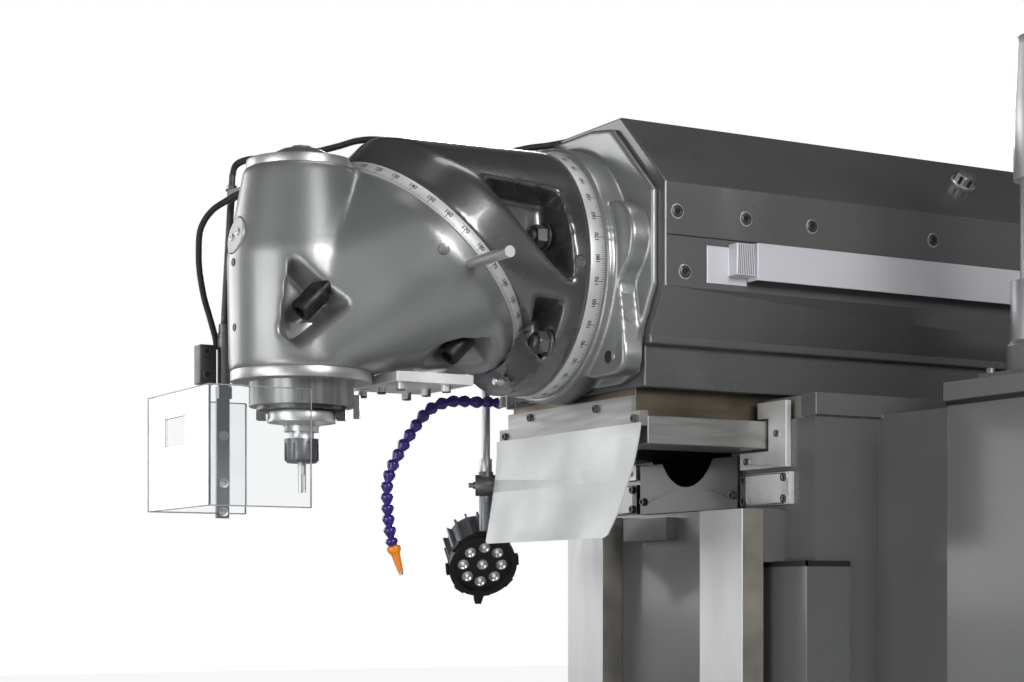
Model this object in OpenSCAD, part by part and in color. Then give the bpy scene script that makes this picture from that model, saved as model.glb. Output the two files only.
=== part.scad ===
// Universal milling machine with a ram and a double swivel head.
// Origin on the floor under the spindle axis, +Y towards the back, +Z up, millimetres.

/* [Main heights] */
// Height of the ram's swivel axis above the floor
ram_axis_h = 1730; // [1700:5:1760]
// Height of the table's top at rest
table_h = 930; // [900:5:940]
// Height of the base casting
base_h = 150; // [140:5:160]

/* [Ram] */
// Half width of the ram at its widest
ram_half = 258; // [250:1:266]
// Half width of the ram's flat top
ram_top_half = 140; // [120:1:160]
// Top of the ram above the swivel axis
ram_top = 220.5; // [205:0.5:225]
// Length of the ram casting
ram_len = 1340; // [1250:10:1400]
// Front face of the ram behind the spindle axis
ram_front = 450; // [448:1:452]
// Half width of the ground rail under the ram
rail_half = 213; // [205:1:216]
// Thickness of the ground rail
rail_t = 41; // [36:1:44]

/* [Column] */
// Plane of the knee ways in front of the column
way_front = 593; // [588:1:598]
// Half width over both knee ways
way_half = 247; // [240:1:252]
// Width of one knee way
way_w = 109; // [90:1:120]
// Thickness of a knee way
way_t = 39; // [36:1:42]
// Half width of the column
column_half = 318; // [310:1:320]
// Back of the column
column_back = 1250; // [1230:5:1290]
// Top of the column below the swivel axis
column_drop = 190; // [188:0.5:190]

/* [Swivel head] */
// Distance from the spindle axis to the crossing of both swivel axes
head_offset = 190; // [189:0.5:191]
// Radius of both degree rings
ring_r = 185; // [183:0.5:187]
// Plane where the knuckle meets the ram's degree ring
swing_face = 371; // [370:0.5:372]
// Width of the ram's degree ring
ram_ring_w = 25; // [22:0.5:26]
// Width of the slanted degree ring
turn_ring_w = 18.9; // [16:0.1:19]
// Radius of the spindle housing at its top
housing_top_r = 83; // [80:0.5:85]
// Radius of the spindle housing at its foot
housing_foot_r = 103; // [101:0.5:105]
// Radius of the bright flange under the housing
flange_r = 101; // [98:0.5:103]
// Radius of the front bearing cap
nose_cap_r = 75; // [73:0.5:77]

/* [Spindle] */
// Radius of the spindle shaft
spindle_r = 38; // [36:0.5:40]
// Radius of the spindle nose inside the bearing cap
nose_r = 64; // [62:0.5:66]
// Large radius of the tool taper
taper_r = 34.9; // [30:0.1:36]
// Radius of the holder's flange
holder_r = 49; // [46:0.5:49.5]
// Radius of the collet nut
nut_r = 25; // [22:0.5:27]
// Radius of the end mill
mill_r = 6; // [3:0.5:8]
// Length of the end mill below the nut
mill_out = 42; // [30:1:50]
// Gear module of the spindle drive
gear_mod = 3.8; // [3.7:0.05:3.8]

/* [Table] */
// Length of the table
table_l = 1100; // [1000:10:1150]
// Width of the table
table_w = 320; // [300:5:330]
// Thickness of the table
table_t = 75; // [70:1:80]
// Width of a T slot
tee_w = 18; // [14:1:20]

/* [Guard and lamp] */
// Thickness of the clear guard's walls
guard_t = 4; // [3:0.5:6]
// Radius of the lamp's face
lamp_r = 56; // [50:1:58]
// Radius of one coolant hose bead
bead_r = 9; // [7.5:0.5:9.5]

/* [Cabinet and pendant] */
// Width of the electrical cabinet
cabinet_w = 330; // [300:5:360]
// Depth of the electrical cabinet
cabinet_d = 470; // [430:5:480]
// Radius of the pendant's tube
pendant_r = 31; // [26:1:34]

/* [Hidden] */
$fn = 72;

// Clearances
gap = 0.3;
run = 0.06;
slide_gap = 0.15;

// Colours
paint = [0.36, 0.37, 0.37];
paint_light = [0.47, 0.48, 0.49];
steel = [0.72, 0.73, 0.74];
dark_steel = [0.2, 0.2, 0.21];
alloy = [0.78, 0.79, 0.81];
black = [0.06, 0.06, 0.06];

// Heights taken from the ram's swivel axis
ax = ram_axis_h;
flange_top = ax - 167.5;
flange_bottom = flange_top - 15;
nose_cap_h = 35;
nose_cap_bottom = flange_bottom - nose_cap_h;
nose_face = nose_cap_bottom - 5;
housing_h = 281;
housing_top = flange_top + housing_h;
top_ring_h = 18;
turn_face = -10.25;
cut_face = turn_face - gap;
swing_ring_back = swing_face + ram_ring_w;
column_top = ax - column_drop;
rail_top = ax - 224.5;
rail_bottom = rail_top - rail_t;
rail_neck = 180;
way_back = way_front + way_t;
way_top = ax - 357.5;
slider_back = way_back + 18;
box_front = slider_back;
upper_front = 673;
bolt_circle = 136.5;
stud_circle = 165;
jack_y = 25 * gear_mod;
gear_low = ax - 5;
gear_h = 18;
holder_top = nose_face - 2;
nut_top = holder_top - 38;
nut_h = 34;
table_low = table_h - table_t;
turn_low = table_low - 65;
saddle_low = turn_low - 75;
knee_top = saddle_low;
screw_r = 24;
cabinet_x = 501;
cabinet_y = 760;
cabinet_top = ax - 188;
motor_y = ram_front + ram_len - 490;
post_x = 600;
post_y = 845;
lamp_x = -232;
lamp_y = 428;
lamp_z = ax - 305;
lamp_turn = 60.4;
guard_pivot = [-132, -67];
guard_x0 = -142;
guard_x1 = 100;
guard_y0 = -179;
guard_y1 = -28;
guard_top = ax - 201;
guard_h = 164;

// The slanted swivel axis runs through the crossing, with local +Z along it
module slanted() {
    translate([0, head_offset, ax]) rotate([-45, 0, 0]) children();
}
// The ram's swivel axis, with local +Z along +Y
module along_ram(y) {
    translate([0, y, ax]) rotate([-90, 0, 0]) children();
}
module block(x0, x1, y0, y1, z0, z1) {
    translate([x0, y0, z0]) cube([x1 - x0, y1 - y0, z1 - z0]);
}
module tube(r_out, r_in, h) {
    difference() {
        cylinder(r = r_out, h = h);
        translate([0, 0, -1]) cylinder(r = r_in, h = h + 2);
    }
}
module socket_screw(r, h) {
    difference() {
        cylinder(r = r, h = h, $fn = 32);
        translate([0, 0, h * 0.45]) cylinder(r = r * 0.55, h = h, $fn = 6);
    }
}
module hex_nut(flats, h, r) {
    difference() {
        cylinder(r = flats / 2 / cos(30), h = h, $fn = 6);
        translate([0, 0, -1]) cylinder(r = r, h = h + 2, $fn = 32);
    }
}
function tooth(n, i, r, half) = let(a = 360 / n * i + half) [r * cos(a), r * sin(a)];
module gear(n, bore, h) {
    root = gear_mod * (n / 2 - 1.25);
    tip = gear_mod * (n / 2 + 0.9);
    step = 360 / n;
    difference() {
        linear_extrude(height = h) polygon([for (i = [0:n - 1]) each [
            tooth(n, i, root, -0.3 * step), tooth(n, i, tip, -0.11 * step),
            tooth(n, i, tip, 0.11 * step), tooth(n, i, root, 0.3 * step)]]);
        translate([0, 0, -1]) cylinder(r = bore, h = h + 2);
    }
}
// Cone gear blank whose pitch cone points at the origin from below
module cone_gear(far, half_angle, width, bore) {
    near = far - width;
    play = 0.3;
    difference() {
        translate([0, 0, -far]) cylinder(r1 = far * tan(half_angle) - play, r2 = near * tan(half_angle) - play, h = width);
        translate([0, 0, -far - 1]) cylinder(r = bore - 1, h = width + 2);
    }
}

module base() color(paint) {
    difference() {
        union() {
            block(-330, 330, -330, column_back + 30, 0, 70);
            block(-290, 290, -290, column_back, 70, base_h);
        }
        block(-250, 250, -250, way_front - 60, base_h - 60, base_h + 1);
        block(-280, 280, way_front + 60, column_back - 40, 30, base_h - 30);
        for (x = [-305, 305], y = [-300, column_back]) {
            translate([x, y, -1]) cylinder(r = 11, h = 80);
        }
        translate([0, 60, 12]) cylinder(r = screw_r + 0.5, h = base_h);
    }
    // Nut tower of the elevating screw
    translate([0, 60, base_h - 60]) tube(60, screw_r + 0.08, 390);
}

module column_outline(front, half) {
    polygon([[-half, front], [half, front], [half, column_back], [-half, column_back]]);
}
module column() color(paint) {
    lip_low = column_top - 32;
    box_top = ax - 435;
    difference() {
        union() {
            translate([0, 0, base_h]) linear_extrude(height = box_top - base_h) polygon([
                [-208, way_back], [208, way_back], [208, box_front], [326, box_front], [326, 730],
                [column_half, 730], [column_half, column_back], [-column_half, column_back],
                [-column_half, 730], [-326, 730], [-326, box_front], [-208, box_front]]);
            block(-way_half, way_half, way_back, upper_front + 1, box_top - 1, way_top);
            translate([0, 0, box_top]) linear_extrude(height = lip_low - box_top)
                column_outline(upper_front, column_half);
            translate([0, 0, lip_low]) linear_extrude(height = column_top - lip_low)
                column_outline(upper_front - 5, column_half + 7);
            block(column_half - 1, cabinet_x - gap, 792, 1100, 200, ax - 218);
        }
        // Rail channel and the seat of the keeper strips
        block(-rail_half - slide_gap, rail_half + slide_gap, 600, column_back + 1,
            rail_bottom - slide_gap, column_top + 1);
        block(-290, 290, 600, column_back + 1, rail_top + slide_gap, column_top + 1);
        // Hollow inside and the opening behind the notched plate
        block(-280, 280, slider_back + 50, column_back - 30, base_h + 30, rail_bottom - 70);
        block(-110, 110, 600, upper_front + 60, rail_bottom - 64, rail_bottom + 5);
        block(-110, 110, upper_front + 40, column_back - 60, rail_bottom - 100, rail_bottom + 5);
    }
}

module knee_ways() color(steel) {
    for (s = [-1, 1]) {
        x = s * (way_half - way_w / 2);
        block(x - way_w / 2, x + way_w / 2, way_front, way_back, base_h, way_top);
    }
}

module ram_keepers() color(steel) {
    for (s = [0, 1]) mirror([s, 0, 0]) difference() {
        block(rail_neck + 3, 289.8, 680, column_back - 2, rail_top + slide_gap, column_top);
        for (y = [760:120:1200]) translate([250, y, rail_top - 1]) cylinder(r = 7, h = 60);
    }
}

module way_wipers() color(alloy) {
    face = upper_front - 10;
    for (s = [0, 1]) mirror([s, 0, 0]) {
        difference() {
            block(145, 260, face, upper_front - gap, rail_bottom - 29, column_top - 6);
            block(100, rail_half + 4, face - 1, upper_front + 1, rail_bottom - 4, rail_top + 4);
            block(100, 190, face - 1, upper_front + 1, rail_top - 20, column_top + 1);
        }
        for (z = [rail_bottom - 17, rail_top - 20]) translate([z < rail_bottom ? 165 : 240, face, z])
            rotate([90, 0, 0]) socket_screw(5, 4);
    }
}

module column_plates() color(paint) {
    // Notched plate over the opening under the rail
    difference() {
        block(-136, 136, upper_front - 8, upper_front, ax - 352, rail_bottom - 6);
        translate([0, upper_front + 1, ax - 232]) rotate([90, 0, 0]) cylinder(r = 80, h = 20);
    }
    for (x = [-125, 125]) translate([x, upper_front - 8, ax - 331]) rotate([90, 0, 0]) socket_screw(6, 4);
    // Wiper plates with four screws each
    for (s = [-1, 1]) {
        block(s * 206 - 61, s * 206 + 61, upper_front - 9, upper_front, ax - 350, ax - 302);
        for (x = [-50, 50], z = [-342, -310]) translate([s * 206 + x, upper_front - 9, ax + z])
            rotate([90, 0, 0]) socket_screw(6, 4);
    }
    // Stop for the knee between its ways
    block(-105, 20, way_back - 20, way_back, ax - 398, ax - 362);
    // Cover on the back of the column
    block(-200, 200, column_back, column_back + 6, base_h + 200, base_h + 900);
    for (x = [-185, 185], z = [220, 880]) translate([x, column_back + 6, base_h + z])
        rotate([-90, 0, 0]) socket_screw(7, 5);
}

module ram_screw() color(steel) {
    translate([0, upper_front + 40, rail_bottom - 34]) rotate([-90, 0, 0]) cylinder(r = 20, h = column_back - 60 - gap - upper_front - 40);
}

module cabinet() color(paint_light) {
    x1 = cabinet_x + cabinet_w;
    y1 = cabinet_y + cabinet_d;
    difference() {
        union() {
            block(cabinet_x, x1, cabinet_y, y1, 60, cabinet_top - 14);
            block(cabinet_x + 20, x1 - 20, cabinet_y + 20, y1 - 20, 0, 60);
            block(cabinet_x - 4, x1 + 4, cabinet_y - 4, y1 + 4, cabinet_top - 26, cabinet_top);
        }
        block(cabinet_x + 6, x1 + 1, cabinet_y + 22, y1 - 22, 90, cabinet_top - 40);
        block(cabinet_x + 8, x1 - 8, cabinet_y + 8, y1 - 8, cabinet_top - 8, cabinet_top + 1);
    }
    // Mounting plate with switchgear
    block(cabinet_x + 6, cabinet_x + 10, cabinet_y + 40, y1 - 40, 160, cabinet_top - 100);
    for (z = [260:240:1220], y = [cabinet_y + 60:90:y1 - 130])
        block(cabinet_x + 10, cabinet_x + 90, y, y + 70, z, z + 120);
}

module cabinet_door() color(paint_light) {
    x1 = cabinet_x + cabinet_w;
    y1 = cabinet_y + cabinet_d;
    block(x1 + gap, x1 + 18, cabinet_y + 8, y1 - 8, 80, cabinet_top - 34);
    // Lock handle
    block(x1 + 18, x1 + 34, cabinet_y + 30, cabinet_y + 46, cabinet_top / 2 - 11, cabinet_top / 2 + 129);
    hinge_places = [180, cabinet_top - 202];
    for (z = hinge_places) translate([x1 + 12, y1 + 1.3, z]) cylinder(r = 8, h = 60);
    for (z = hinge_places) block(x1 + 6, x1 + 18, y1 - 8, y1 - 4, z + 5, z + 55);
}

module coolant_pump() color(dark_steel) {
    translate([-180, column_back - 10 + 70, 70]) {
        cylinder(r = 45, h = 14);
        translate([0, 0, 14]) cylinder(r = 30, h = 90);
        translate([0, 0, 104]) cylinder(r = 55, h = 130);
        translate([0, 0, 234]) cylinder(r = 50, h = 26);
    }
}

module pendant_post() color(paint_light) {
    translate([post_x, post_y, cabinet_top - 8]) {
        difference() {
            union() {
                translate([-62, -62, 0]) cube([124, 124, 17]);
                translate([0, 0, 17]) cylinder(r = 50, h = 35);
            }
            translate([0, 0, 10]) cylinder(r = pendant_r - 8 + run, h = 60);
        }
        for (x = [-50, 50], y = [-50, 50]) translate([x, y, 17]) socket_screw(6, 8);
    }
}
arm_low = cabinet_top - 8 + 52 + gap;
arm_top = ax + 243;
arm_reach = 330;
module pendant_arm() color([0.82, 0.83, 0.84]) {
    translate([post_x, post_y, 0]) {
        translate([0, 0, arm_low - 40]) cylinder(r = pendant_r - 8, h = 41);
        translate([0, 0, arm_low]) cylinder(r1 = 50, r2 = 44, h = 8);
        translate([0, 0, arm_low + 8]) cylinder(r = 44, h = 82);
        translate([0, 0, arm_low + 90]) cylinder(r = pendant_r, h = arm_top - arm_low - 217);
        translate([0, 0, arm_top - 157]) cylinder(r = 40, h = 99);
        translate([0, 0, arm_top - 58]) cylinder(r1 = 40, r2 = 35, h = 98);
        translate([0, 0, arm_top]) rotate([0, 90, 0]) cylinder(r = pendant_r, h = arm_reach);
        translate([arm_reach, 0, arm_top - 40]) cylinder(r = 38, h = 80);
    }
}

box_x = post_x + arm_reach;
box_z = arm_top - 400;
module pendant_box() color([0.82, 0.83, 0.84]) {
    translate([box_x, post_y, 0]) {
        translate([0, 0, box_z + 299]) cylinder(r = 26, h = arm_top - 40 - gap - box_z - 299);
        difference() {
            block(-130, 130, -55, 45, box_z, box_z + 300);
            block(-110, 110, -56, -50, box_z + 120, box_z + 275);
            for (x = [-80, 80]) translate([x, -40, box_z + 60]) rotate([90, 0, 0]) cylinder(r = 11 + gap, h = 20);
            block(-118, 118, -43, 33, box_z + 12, box_z + 288);
        }
        block(-109, 109, -55, -50, box_z + 121, box_z + 274);
        // Mode knob
        translate([0, -55, box_z + 60]) rotate([90, 0, 0]) cylinder(r = 15, h = 18);
    }
}
module panel_button(x, r_head, h_head) {
    translate([box_x + x, post_y, box_z + 60]) rotate([90, 0, 0]) {
        translate([0, 0, 46]) cylinder(r = 11, h = 15);
        translate([0, 0, 61]) cylinder(r = r_head, h = h_head);
    }
}
module start_button() color([0.1, 0.45, 0.15]) panel_button(-80, 13, 5);
module stop_button() color([0.75, 0.05, 0.04]) panel_button(80, 20, 14);

ram_section = [
    [ram_top_half, ram_top], [ram_half, 106.5], [ram_half, -42.5], [220, -109.5], [220, -121.5],
    [205, -121.5], [205, -182.5]];
function mirrored(p) = concat(p, [for (i = [len(p) - 1:-1:0]) [-p[i][0], p[i][1]]]);
module ram_slice(y, h) {
    translate([0, y + h, ax]) rotate([90, 0, 0]) linear_extrude(height = h) children();
}
module ram() color(paint) {
    wall = 18;
    inner = [[ram_top_half - 8, ram_top - wall], [ram_half - wall, 98], [ram_half - wall, -36],
        [201, -104], [187, -160]];
    difference() {
        ram_slice(ram_front, ram_len) polygon(mirrored(ram_section));
        ram_slice(ram_front + 22, ram_len - 44) polygon(mirrored(inner));
        along_ram(ram_front - 1) cylinder(r = 62, h = 40);
        // Service opening in the back
        along_ram(ram_front + ram_len - 30) cylinder(r = 150, h = 40);
    }
}

module ram_rail() color(steel) {
    y1 = ram_front + ram_len;
    difference() {
        union() {
            block(-rail_half, rail_half, ram_front, y1, rail_bottom, rail_top);
            block(-rail_neck, rail_neck, ram_front, y1, rail_top, ax - 182.5);
        }
        block(-110, 110, ram_front + 60, y1 + 1, rail_bottom - 1, ax - 200);
    }
}

ear_outline = [[0, 96], [188, 84], [209, 76], [222, 60], [230, 38], [231, 18], [224, 2], [207, -17],
    [197, -30], [197, -42], [204, -76], [209, -112], [210, -140], [205, -153], [192, -162], [0, -162]];
module ram_adapter() color(paint) {
    difference() {
        union() {
            along_ram(swing_face + gap) cylinder(r = ring_r - 8.3, h = ram_ring_w + 2);
            along_ram(swing_ring_back + gap) cylinder(r = ring_r + 7, h = 440 - swing_ring_back - gap);
            ram_slice(410, 30) polygon(ear_outline);
            ram_slice(410, 30) mirror([1, 0]) polygon(ear_outline);
            ram_slice(440, ram_front - 440) polygon(mirrored([[73, 213.5], [129, 205], [240, 98],
                [240, -40], [207, -100], [195, -162], [150, -176]]));
        }
        along_ram(swing_face - 1) cylinder(r = 55, h = 100);
        // Circular tee slot for the swing studs
        along_ram(swing_face - 1) tube(stud_circle + 10.5, stud_circle - 10.5, 40);
        along_ram(swing_ring_back + 4) tube(stud_circle + 17, stud_circle - 17, 17);
        for (s = [-1, 1]) {
            translate([s * 196, 405, ax - 137]) rotate([-90, 0, 0]) cylinder(r = 8, h = 20);
        }
    }
}

module ram_scale_ring() color(alloy) {
    along_ram(swing_face + gap) tube(ring_r, ring_r - 8, ram_ring_w - gap);
}

module rule_cover() color(alloy) {
    y0 = 560;
    y1 = 1560;
    difference() {
        block(ram_half, ram_half + 26, y0 + 34, y1, ax - 28, ax + 26);
        block(ram_half - 1, ram_half + 23, y0 + 36, y1 - 3, ax - 40, ax + 22);
    }
    // End block of the rule and its mounting pad
    block(ram_half + 1, ram_half + 22, y0, y0 + 33, ax - 22, ax + 24);
    block(ram_half, ram_half + 1, y0 - 38, y0 + 33, ax - 34, ax + 20);
    block(ram_half, ram_half + 20, y0 + 37, y1 - 4, ax - 10, ax + 14);
}

side_screws = [471, 592, 713, 948, 1184];
module ram_fasteners() color(steel) {
    for (y = side_screws) translate([ram_half, y, ax + 64.5])
        rotate([0, 90, 0]) socket_screw(9, 1.5);
    translate([ram_half, 484.5, ax - 21]) rotate([0, 90, 0]) socket_screw(9, 1.5);
    for (y = side_screws) translate([-ram_half, y, ax + 64.5])
        rotate([0, -90, 0]) socket_screw(9, 1.5);
    // Lifting bolts on the sloping shoulders
    slope = atan2(ram_top - 106.5, ram_half - ram_top_half);
    for (s = [0, 1]) mirror([s, 0, 0]) translate([184, 1074, ax + ram_top - (184 - ram_top_half) * tan(slope)])
        rotate([0, slope, 0]) {
            cylinder(r = 19, h = 3);
            translate([0, 0, 3]) cylinder(r = 15 / cos(30), h = 13, $fn = 6);
        }
    // Cover on the ram's back opening
    along_ram(ram_front + ram_len) cylinder(r = 170, h = 6);
    for (i = [0:5]) along_ram(ram_front + ram_len + 6) rotate(60 * i + 30) translate([160, 0, 0])
        socket_screw(6, 4);
}

module chip_guard_bar() color(alloy) {
    difference() {
        union() {
            block(-172, 192, 436, 443, ax - 218, ax - 195);
            block(-200, 214, 436, ram_front - gap, ax - 240, ax - 218);
        }
    }
    for (p = [[-100, -205], [95, -207], [-180, -229], [200, -229]]) translate([p[0], 436, ax + p[1]])
        rotate([90, 0, 0]) socket_screw(5.5, 4);
}

// Side view of the hanging sheet, from the bar down and forwards
function sheet_y(t) = 435.7 - 35.7 * pow(t, 1.5);
function sheet_z(t) = ax - 236 - 166 * t;
module chip_guard_sheet() color([0.88, 0.9, 0.91]) {
    steps = 8;
    t = [for (i = [0:steps]) i / steps];
    intersection() {
        translate([-207, 0, 0]) rotate([90, 0, 90]) linear_extrude(height = 427) polygon(concat(
            [for (k = t) [sheet_y(k) - 2.5, sheet_z(k)]],
            [for (i = [steps:-1:0]) [sheet_y(t[i]), sheet_z(t[i])]]));
        translate([0, 460, 0]) rotate([90, 0, 0]) linear_extrude(height = 80) polygon([
            [-205, ax - 236], [219, ax - 236], [211, ax - 300], [195, ax - 370], [184, ax - 398],
            [176, ax - 402], [-172, ax - 402], [-180, ax - 398], [-191, ax - 340]]);
    }
}

// Beads of the coolant hose, from the ram's adapter to the nozzle
hose_route = [
    [434.7, -173.0], [414.3, -172.7], [394.1, -173.5], [372.2, -173.4], [352.2, -174.1],
    [331.6, -178.5], [312.7, -186.8], [297.6, -199.6], [285.0, -214.9], [273.6, -230.7],
    [262.8, -246.4], [253.2, -262.4], [244.0, -278.5], [237.2, -295.0], [233.5, -312.4],
    [233.2, -329.7], [234.2, -347.3], [235.5, -364.2], [238.0, -382.0], [241.2, -399.2]];
module toward(from, to) {
    d = to - from;
    translate(from) rotate([0, acos(d[2] / norm(d)), atan2(d[1], d[0])]) children();
}
hose_x = -200;
function hose_point(i) = [hose_x, hose_route[i][0], ax + hose_route[i][1]];
module coolant_hose() color([0.2, 0.13, 0.5]) {
    last = len(hose_route) - 1;
    for (i = [0:last - 1]) toward(hose_point(i), hose_point(i + 1))
        translate([0, 0, 3]) cylinder(r = bead_r - 3, h = norm(hose_point(i + 1) - hose_point(i)) - 6, $fn = 24);
    for (i = [0:last]) translate(hose_point(i)) sphere(r = bead_r, $fn = 32);
    // Valve block under the adapter's ear
    block(hose_x - 5, hose_x + 14, 430, 439.7, ax - 180, ax - 162.3);
}
module hose_nozzle() color([0.95, 0.45, 0.05]) {
    a = hose_point(len(hose_route) - 1);
    toward(a, a + [0, 16, -48]) {
        translate([0, 0, bead_r + gap]) cylinder(r = bead_r, h = 5);
        translate([0, 0, 14]) cylinder(r1 = bead_r - 1, r2 = 4, h = 42);
    }
}

module lamp_tube() color(steel) {
    translate([lamp_x, lamp_y, 0]) {
        translate([0, 0, ax - 262]) cylinder(r = 6.8, h = 140);
        translate([0, 0, ax - 283]) cylinder(r = 10, h = 21);
    }
    // Clamp on the edge of the adapter's ear
    block(lamp_x - 11, -210.3, 414, 437, ax - 142, ax - 126);
}
module lamp_frame() {
    translate([lamp_x, lamp_y, lamp_z]) rotate([0, 0, lamp_turn]) children();
}
module lamp_elbow() color(dark_steel) {
    lamp_frame() {
        difference() {
            rotate([0, 90, 0]) cylinder(r = 17.5, h = 34, center = true);
            rotate([0, 90, 0]) translate([0, 0, -2 - 30]) cylinder(r = 14, h = 12);
        }
        translate([0, 0, 10]) cylinder(r = 12, h = 12 - gap);
        rotate([0, -90, 0]) translate([0, 0, 20]) cylinder(r = 4, h = 8);
        rotate([0, -90, 0]) translate([0, 0, 10]) cylinder(r = 6, h = 11);
    }
}
// Way the lamp looks, as the direction of its axis
lamp_dir = [0.807, -0.24, -0.54];
lamp_face_c = [lamp_x, lamp_y - 5, ax - 438.5];
module lamp_axis(back) {
    c = lamp_face_c - back * lamp_dir;
    toward(c, c + lamp_dir) children();
}
module lamp_body() color([0.45, 0.46, 0.48]) {
    difference() {
        union() {
            lamp_axis(90) cylinder(r = lamp_r - 12, h = 72);
            for (i = [0:15]) lamp_axis(90) rotate(22.5 * i) translate([lamp_r - 13, -1.5, 0])
                cube([9, 3, 70]);
        }
        lamp_axis(24) cylinder(r = lamp_r - 16, h = 20);
    }
    // Neck up to the elbow
    lamp_frame() translate([0, 0, -17.5 - gap]) mirror([0, 0, 1]) cylinder(r = 11, h = 66);
}
module lamp_face() color(black) {
    difference() {
        union() {
            lamp_axis(18 - gap) cylinder(r = lamp_r, h = 18 - gap);
            for (i = [0:7]) lamp_axis(14) rotate(45 * i + 10) translate([lamp_r - 2, -9, 0]) cube([6, 18, 9]);
        }
        lamp_axis(8) cylinder(r = lamp_r - 8, h = 10);
        for (i = [0:8]) lamp_axis(12) rotate(45 * i) translate([i == 8 ? 0 : 32, 0, 0]) cylinder(r = 8, h = 10);
    }
}

module spindle_motor() color(dark_steel) {
    along_ram(motor_y) cylinder(r = 130, h = 330);
    along_ram(motor_y + 330) cylinder(r = 122, h = 60);
    translate([-60, motor_y + 100, ax - 150]) cube([120, 160, 60]);
    translate([-90, motor_y + 80, ax - 159.7]) cube([180, 200, 10]);
}
module drive_shaft() color(steel) {
    translate([0, head_offset, ax]) rotate([90, 0, 0]) cone_gear(24, 67.5, 12, 18);
    along_ram(head_offset + 12) cylinder(r = 18, h = motor_y - gap - head_offset - 12);
}

// Conduit over the head, with a coupling at each bend
module conduit(points, r) {
    last = len(points) - 1;
    for (i = [0:last - 1]) toward(points[i], points[i + 1])
        translate([0, 0, i == 0 ? 0 : 2]) cylinder(r = r, h = norm(points[i + 1] - points[i]) - (i == 0 ? 2 : 4), $fn = 24);
    for (i = [1:1:last - 1]) translate(points[i]) sphere(r = 1.6 * r, $fn = 24);
}
conduit_r = 5;
module conduit_rear() color(black) {
    translate([0, 0, ax]) conduit([[-40, 431, 205], [-40, 386, 199]], conduit_r);
    // Clip on the adapter's top plate
    translate([-40, 439.7, ax + 205]) rotate([90, 0, 0]) cylinder(r = 9, h = 10);
}
module conduit_middle() color(black) {
    translate([0, 0, ax]) conduit([[-40, 357, 195], [-40, 124, 190], [-48, 76, 173]], conduit_r);
    // Saddle clips on the knuckle's back
    for (y = [335, 240]) translate([-45, y, ax + 181]) cube([10, 12, 9]);
}
module conduit_front() color(black) {
    translate([0, 0, ax]) conduit([[-52, 40, 163], [-84, -18, 152], [-133, -68, 145.5]], conduit_r);
}

module knuckle() color(paint) {
    drum_front = swing_face - 44;
    difference() {
        union() {
            hull() {
                slanted() translate([0, 0, turn_face + turn_ring_w - 3]) cylinder(r = ring_r - 1, h = 61, $fn = 96);
                along_ram(drum_front) cylinder(r = ring_r - 1, h = 43, $fn = 96);
            }
            along_ram(drum_front) cylinder(r = ring_r - 1, h = 44);
            slanted() translate([0, 0, turn_face - 5]) cylinder(r = 149.5, h = turn_ring_w + 6);
        }
        // Hollow for the cone gears
        hull() {
            slanted() translate([0, 0, 32]) cylinder(r = 118, h = 20, $fn = 48);
            along_ram(drum_front + 4) cylinder(r = 118, h = 22, $fn = 48);
        }
        slanted() translate([0, 0, -60]) cylinder(r = 95, h = 100);
        along_ram(drum_front) cylinder(r = 62, h = 60);
        // Room for the slanted ring and for the head under it
        slanted() translate([0, 0, -80]) tube(ring_r + 1.5, 149.7, 80 + turn_face + turn_ring_w);
        slanted() translate([0, 0, -80]) cylinder(r = 150, h = 80 + turn_face);
        slanted() translate([-300, -300, -230]) cube([600, 600, 230 - 29]);
        // Circular tee slot for the turning bolts
        slanted() translate([0, 0, turn_face - 1]) tube(bolt_circle + 10.5, bolt_circle - 10.5, 32);
        slanted() translate([0, 0, turn_face + turn_ring_w]) tube(bolt_circle + 16, bolt_circle - 16, 14);
        // Pockets that give access to the swing nuts
        for (s = [-1, 1]) {
            translate([s * 168, 288, ax + 28]) rotate([-90, 0, 0]) cylinder(r = 33, h = 50);
            translate([s * 116, 300, ax - 118]) rotate([-90, 0, 0]) cylinder(r = 33, h = 44);
        }
        for (p = stud_places) translate([p[0], drum_front - 40, ax + p[1]]) rotate([-90, 0, 0])
            cylinder(r = 10.2, h = 100);
    }
    // Bearing arm of the slanted shaft
    slanted() difference() {
        union() {
            translate([0, 0, -52]) cylinder(r = 29, h = 11);
            for (a = [0:90:180]) rotate(a) translate([0, -6, -51]) cube([112, 12, 9]);
            translate([0, 0, -51]) tube(118, 105, 46);
        }
        translate([0, 0, -60]) cylinder(r = 14 + run, h = 30);
    }
}
// Swing studs that stand in the pockets, across and below the axis
stud_places = [for (s = [-1, 1], p = [[162.5, 28], [116.5, -117]]) [s * p[0], p[1]]];
module knuckle_nuts() color(dark_steel) {
    for (p = stud_places) {
        nut_back = p[1] > 0 ? 337 : 343;
        translate([p[0], nut_back, ax + p[1]]) rotate([90, 0, 0]) {
            hex_nut(30, 16, 10 + run);
            mirror([0, 0, 1]) translate([0, 0, -24]) cylinder(r = 10, h = 24 + swing_ring_back + 4 - nut_back);
        }
        translate([p[0], swing_ring_back + 4.3, ax + p[1]]) rotate([-90, 0, 0]) cylinder(r = 16, h = 12);
    }
    // Filler fitting low on the knuckle
    translate([39, swing_face - 60.8, ax - 168]) rotate([90, 0, 0]) {
        cylinder(r = 7, h = 6);
        translate([0, 0, 6]) cylinder(r = 4, h = 10);
    }
}

module swivel_scale_ring() color(alloy) {
    slanted() translate([0, 0, turn_face]) tube(ring_r, 150, turn_ring_w - gap);
}

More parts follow.
